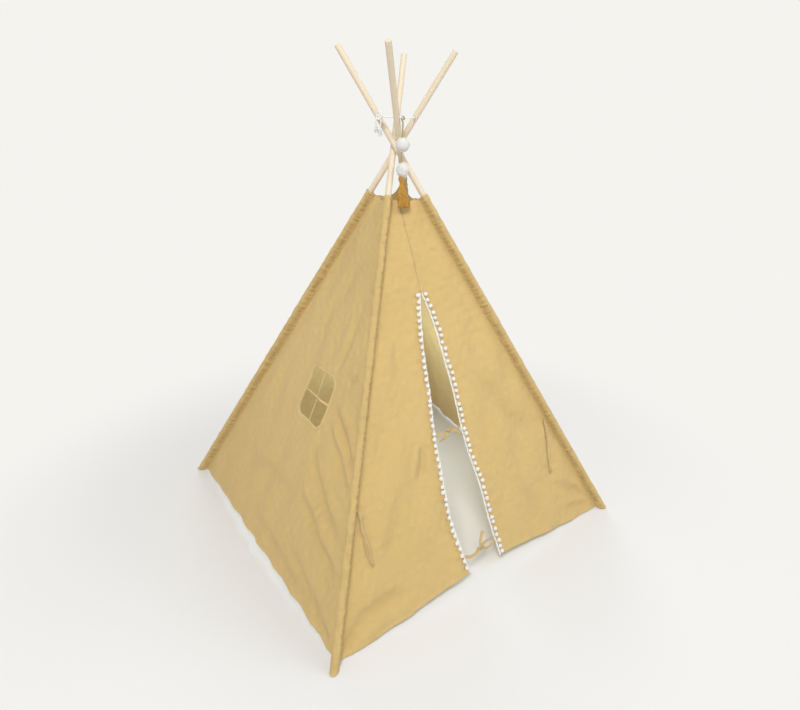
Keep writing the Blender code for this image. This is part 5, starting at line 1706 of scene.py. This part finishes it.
class TEEPEE_OT_window(bpy.types.Operator):
    """Makes the window's sewn binding and its cross of two cloth strips"""

    bl_idname = "teepee.window"
    bl_label = "Window"

    def execute(self, context):
        finish = material("cotton_binding", cotton, tuple(context.scene.teepee_cloth.edge_colour))
        share = np.linspace(0, 1, 240, endpoint=False)
        reach = BINDING_WIDTH
        half = CLOTH / 2 + 0.0022
        section = np.array(
            [(-0.0010, 0), (-0.0006, half * 0.8), (0.0008, half * 1.15), (0.003, half * 1.1),
             (0.0062, half * 1.08), (0.0070, half * 0.6), (0.0078, half * 1.05), (reach, half * 0.75),
             (reach + 0.0003, 0), (reach, -half * 0.75), (0.006, -half), (0.001, -half * 1.05),
             (-0.0006, -half * 0.8)]
        )
        section = smooth_line(np.vstack([section, section[:1]]), 2)[:-1]
        pucker = 1 + 0.16 * np.sin(share * 2 * math.pi * 46) * np.sin(share * 2 * math.pi * 7 + 1)
        across, height = window_outline(share[:, None], section[None, :, 0])
        points, normals = LEFT.cloth(across, height)
        rings = points + normals * (section[None, :, 1] * pucker[:, None])[..., None]
        steps, sides = rings.shape[:2]
        faces = grid_faces(steps, sides, True, True)
        run = share * (2 * (WINDOW_WIDTH + WINDOW_TALL) - 1.7 * WINDOW_CORNER)
        uv = np.stack(np.broadcast_arrays(run[:, None], section[None, :, 0]), axis=-1)
        gap = np.broadcast_to(section[None, :, 0] - 0.0070, (steps, sides))
        plain = np.ones(gap.shape)
        values = {"hem_gap": gap, "side_gap": plain, "crease": 0 * gap, "seam_gap": plain}
        binding = mesh_object("window_edge_binding", rings, [faces], finish, uv, values)
        self.hold(binding, "window_binding")
        self.strip("window_strip_level", 0.0, finish)
        self.strip("window_strip_upright", math.pi / 2, finish)
        return {"FINISHED"}

    def strip(self, name, turn, finish):
        """A doubled strip of cloth from edge to edge of the opening through its middle, bowed a little in."""
        reach = WINDOW_WIDTH / 2 if turn == 0 else WINDOW_TALL / 2
        t = np.linspace(-1, 1, 60)
        along = t * (reach + 0.003)
        bow = (1 - t * t) * (0.0035 if turn == 0 else 0.0015)
        x, y = along * math.cos(turn) + bow * math.sin(turn), along * math.sin(turn) - bow * math.cos(turn)
        across, height = WINDOW_SHIFT + x, WINDOW_HEIGHT + y * math.cos(SIDE_SLOPE)
        points, normals = LEFT.cloth(across, height)
        rise = (0.0009 if turn else -0.0006) * bell(t / 0.2) - 0.0009 * (1 - t * t)
        path = points + normals * rise[:, None]
        side, up = frames(path, normals)
        lean = 0.25 * np.sin(t * 2.2 + turn)[:, None]
        turned = side * np.cos(lean) + up * np.sin(lean)
        turned_up = np.cross(turned, unit(np.gradient(path, axis=0)))
        rings = swept(path, flat_ring(WINDOW_STRIP_WIDTH, CLOTH, 20), turned, turned_up)
        piece = tube_object(name, rings, finish)
        for key, value in (("hem_gap", 1), ("side_gap", 1), ("crease", 0), ("seam_gap", 1)):
            gap = piece.data.attributes.new(key, "FLOAT", "POINT")
            gap.data.foreach_set("value", np.full(len(piece.data.vertices), value, np.float32))
        self.hold(piece, "window_cross")

    def hold(self, piece, node):
        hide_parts(node)
        fold_with(piece, FRONT_LEFT.body, FRONT_LEFT, LEFT)


class TEEPEE_OT_trim(bpy.types.Operator):
    """Makes the white tape along the door's two edges, with its pompoms"""

    bl_idname = "teepee.trim"
    bl_label = "Pompom trim"

    def execute(self, context):
        settings = context.scene.teepee_trim
        tape = material("white_tape", ribbon_cloth, tuple(settings.colour))
        fluff = material("white_pompom", yarn, tuple(settings.colour), 0.0014, 0.0008, 0.86)
        plans = ((-1, left_edge, "left", FRONT_LEFT), (1, right_edge, "right", FRONT_RIGHT))
        for hand, edge, word, corner in plans:
            pieces = (self.tape(hand, edge, word, tape), self.pompoms(hand, edge, word, fluff))
            for piece in pieces:
                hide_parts(f"{word}_door_trim")
                fold_with(piece, f"{word}_door", corner, FRONT)
        return {"FINISHED"}

    def tape(self, hand, edge, word, finish):
        """A narrow tape that laps the very edge of the cloth, its free side waving a little."""
        low, high = HEM_CORNER_HEIGHT + FRONT_HEM_RISE * 0.9, SLIT_TOP_HEIGHT - POMPOM_DIAMETER
        height = np.linspace(low, high, 420)
        wander = 0.0005 * np.sin(height * 300) * np.sin(height * 37 + hand)
        across = edge(height) + hand * (TAPE_OVERLAP + wander)
        points, normals = FRONT.cloth(across, height)
        path = points + normals * (CLOTH / 2 + SEAM_GAP + TAPE_THICKNESS / 2)
        side, up = frames(path, normals)
        ring = flat_ring(TAPE_WIDTH, TAPE_THICKNESS * 1.3, 12)
        return tube_object(f"door_tape_{word}", swept(path, ring, side, up), finish)

    def pompoms(self, hand, edge, word, finish):
        """Each pompom is a ball whose radius wanders by waves of 4 and 1.6 mm, pressed a little flat."""
        draw = np.random.default_rng(29 + hand)
        base = CLOTH / 2 + SEAM_GAP
        low = HEM_CORNER_HEIGHT + FRONT_HEM_RISE + POMPOM_DIAMETER / 2 + (LEFT_ROW_RISE if hand < 0 else 0)
        high = SLIT_TOP_HEIGHT - POMPOM_DIAMETER * 1.4
        count = round((high - low) / math.cos(SIDE_SLOPE) / POMPOM_PITCH)
        height = np.linspace(low, high, count + 1) + draw.normal(0, 0.0014, count + 1)
        height[-1] = high
        across = edge(height) + hand * (POMPOM_INSET + 0.0012 + draw.normal(0, 0.0013, count + 1))
        points, normals = FRONT.cloth(across, height)
        radius = POMPOM_DIAMETER / 2 * draw.uniform(*POMPOM_SIZE_SHARES, count + 1)
        centres = points + normals * (base + radius * 0.86)[:, None]
        ways = ball_points(18, 11)
        place = ways[None] * radius[:, None, None] + centres[:, None]
        lift = 0.42 * MM * waves(place, 0.0040, 24, 71) + 0.30 * MM * waves(place, 0.0016, 30, 72)
        press = ways[None] * (radius[:, None] + lift)[..., None]
        press = press - normals[:, None] * (press @ normals[:, :, None]) * 0.12
        grid, fans = ball_faces(18, 11)
        shift = (np.arange(count + 1) * len(ways))[:, None, None]
        groups = [(grid[None] + shift).reshape(-1, 4), (fans[None] + shift).reshape(-1, 3)]
        return mesh_object(f"pompoms_{word}", press + centres[:, None], groups, finish)


class TEEPEE_OT_stage(bpy.types.Operator):
    """Makes the pale floor that fades into the backdrop, and the soft studio light"""

    bl_idname = "teepee.stage"
    bl_label = "Stage"

    def execute(self, context):
        settings = context.scene.teepee_stage
        background = tuple(settings.background)
        angle = np.arange(FLOOR_SIDES) * 2 * math.pi / FLOOR_SIDES
        reach = np.array(FLOOR_RADII)[:, None]
        rings = np.stack(
            np.broadcast_arrays(np.cos(angle) * reach, np.sin(angle) * reach, FLOOR_HEIGHT), axis=-1
        )
        points = np.vstack([rings.reshape(-1, 3), [[0, 0, FLOOR_HEIGHT]]])
        fan = [(k, (k + 1) % FLOOR_SIDES, len(points) - 1) for k in range(FLOOR_SIDES)]
        faces = grid_faces(len(FLOOR_RADII), FLOOR_SIDES, True)[:, ::-1].tolist()
        flat = bpy.data.meshes.new("floor")
        flat.from_pydata(points.tolist(), [], faces + fan)
        flat.materials.append(material("pale_floor", self.floor_material, background))
        floor = bpy.data.objects.new("floor", flat)
        context.scene.collection.objects.link(floor)
        self.world(background, settings.sky)
        self.lamp("key_lamp", KEY_PLACE, KEY_SIZE, settings.key)
        self.lamp("fill_lamp", FILL_PLACE, SIDE_LAMP_SIZE, settings.fill)
        self.lamp("back_lamp", BACK_PLACE, SIDE_LAMP_SIZE, settings.back)
        inside = bpy.data.lights.new("inside_lamp", "POINT")
        inside.energy = settings.inside
        inside.shadow_soft_size = INSIDE_SIZE
        inside.color = INSIDE_COLOUR
        lamp = bpy.data.objects.new("inside_lamp", inside)
        lamp.location = INSIDE_PLACE
        lamp.visible_camera = False
        context.scene.collection.objects.link(lamp)
        context.scene.view_settings.view_transform = "Standard"
        return {"FINISHED"}

    def floor_material(self, name, background):
        """Lit near the teepee so that it holds the shadow, and the backdrop's own colour further out."""
        paint = Paint(name, roughness=1.0)
        paint.shader.inputs["Specular IOR Level"].default_value = 0.0
        places = paint.coordinates()
        grain = paint.noise(places, 40.0, 4.0, 0.6)
        lit = tuple(share * part for share, part in zip(FLOOR_SHARES, background))
        paint.colour(paint.mix(grain, shade_of(lit, 0.985), lit))
        glow = paint.node("ShaderNodeEmission", {"Color": background, "Strength": 1.0})
        distance = paint.node("ShaderNodeVectorMath", (places,), output=1, operation="LENGTH")
        span = (distance, 0.85, 1.7, 0.0, 1.0)
        far = paint.node("ShaderNodeMapRange", span, interpolation_type="SMOOTHSTEP")
        shaded = Value(paint, paint.shader.outputs[0])
        mixed = paint.node("ShaderNodeMixShader", (far * paint.seen(), shaded, glow))
        paint.feed(paint.tree.nodes["Material Output"].inputs["Surface"], mixed)
        return paint.material

    def world(self, background, strength):
        """Even light from all round, and the backdrop's own colour where it is seen."""
        sky = Sky("studio")
        light = sky.node("ShaderNodeBackground", {"Color": SKY_COLOUR, "Strength": strength})
        backdrop = sky.node("ShaderNodeBackground", {"Color": background, "Strength": 1.0})
        mixed = sky.node("ShaderNodeMixShader", (sky.seen(), light, backdrop))
        sky.feed(sky.tree.nodes["World Output"].inputs["Surface"], mixed)

    def lamp(self, name, place, size, power):
        """A square soft lamp that faces the teepee's middle."""
        data = bpy.data.lights.new(name, "AREA")
        data.shape = "SQUARE"
        data.size = size
        data.energy = power
        lamp = bpy.data.objects.new(name, data)
        forward = unit(np.array((0, 0, 0.6)) - np.array(place))
        right = unit(np.cross(forward, (0, 0, 1)))
        up = np.cross(right, forward)
        turned = Matrix(np.stack([right, up, -forward], axis=1).tolist()).to_4x4()
        lamp.matrix_world = Matrix.Translation(place) @ turned
        bpy.context.scene.collection.objects.link(lamp)


class TEEPEE_PT_sidebar(bpy.types.Panel):
    """Lists the teepee's sizes, colours and steps"""

    bl_idname = "TEEPEE_PT_sidebar"
    bl_label = "Kids teepee"
    bl_space_type = "VIEW_3D"
    bl_region_type = "UI"
    bl_category = "Teepee"

    def draw(self, context):
        for name in SETTINGS:
            settings = getattr(context.scene, name)
            box = self.layout.box()
            for key in settings.__annotations__:
                box.prop(settings, key)
        for operator in OPERATORS:
            self.layout.operator(operator.bl_idname)


SETTINGS = {
    "teepee_cloth": ClothSettings,
    "teepee_poles": PoleSettings,
    "teepee_rope": RopeSettings,
    "teepee_trim": TrimSettings,
    "teepee_ornament": OrnamentSettings,
    "teepee_stage": StageSettings,
}
OPERATORS = (
    TEEPEE_OT_camera,
    TEEPEE_OT_rope,
    TEEPEE_OT_tiebacks,
    TEEPEE_OT_ties,
    TEEPEE_OT_ornament,
    TEEPEE_OT_poles,
    TEEPEE_OT_sleeves,
    TEEPEE_OT_panels,
    TEEPEE_OT_window,
    TEEPEE_OT_trim,
    TEEPEE_OT_stage,
)


def register():
    for kind in (*SETTINGS.values(), *OPERATORS, TEEPEE_PT_sidebar):
        bpy.utils.register_class(kind)
    for name, kind in SETTINGS.items():
        setattr(bpy.types.Scene, name, PointerProperty(type=kind))


def unregister():
    for name in SETTINGS:
        delattr(bpy.types.Scene, name)
    for kind in (TEEPEE_PT_sidebar, *reversed(OPERATORS), *SETTINGS.values()):
        bpy.utils.unregister_class(kind)


def main():
    register()
    for operator in OPERATORS:
        group, name = operator.bl_idname.split(".")
        getattr(getattr(bpy.ops, group), name)()


if __name__ == "__main__":
    main()
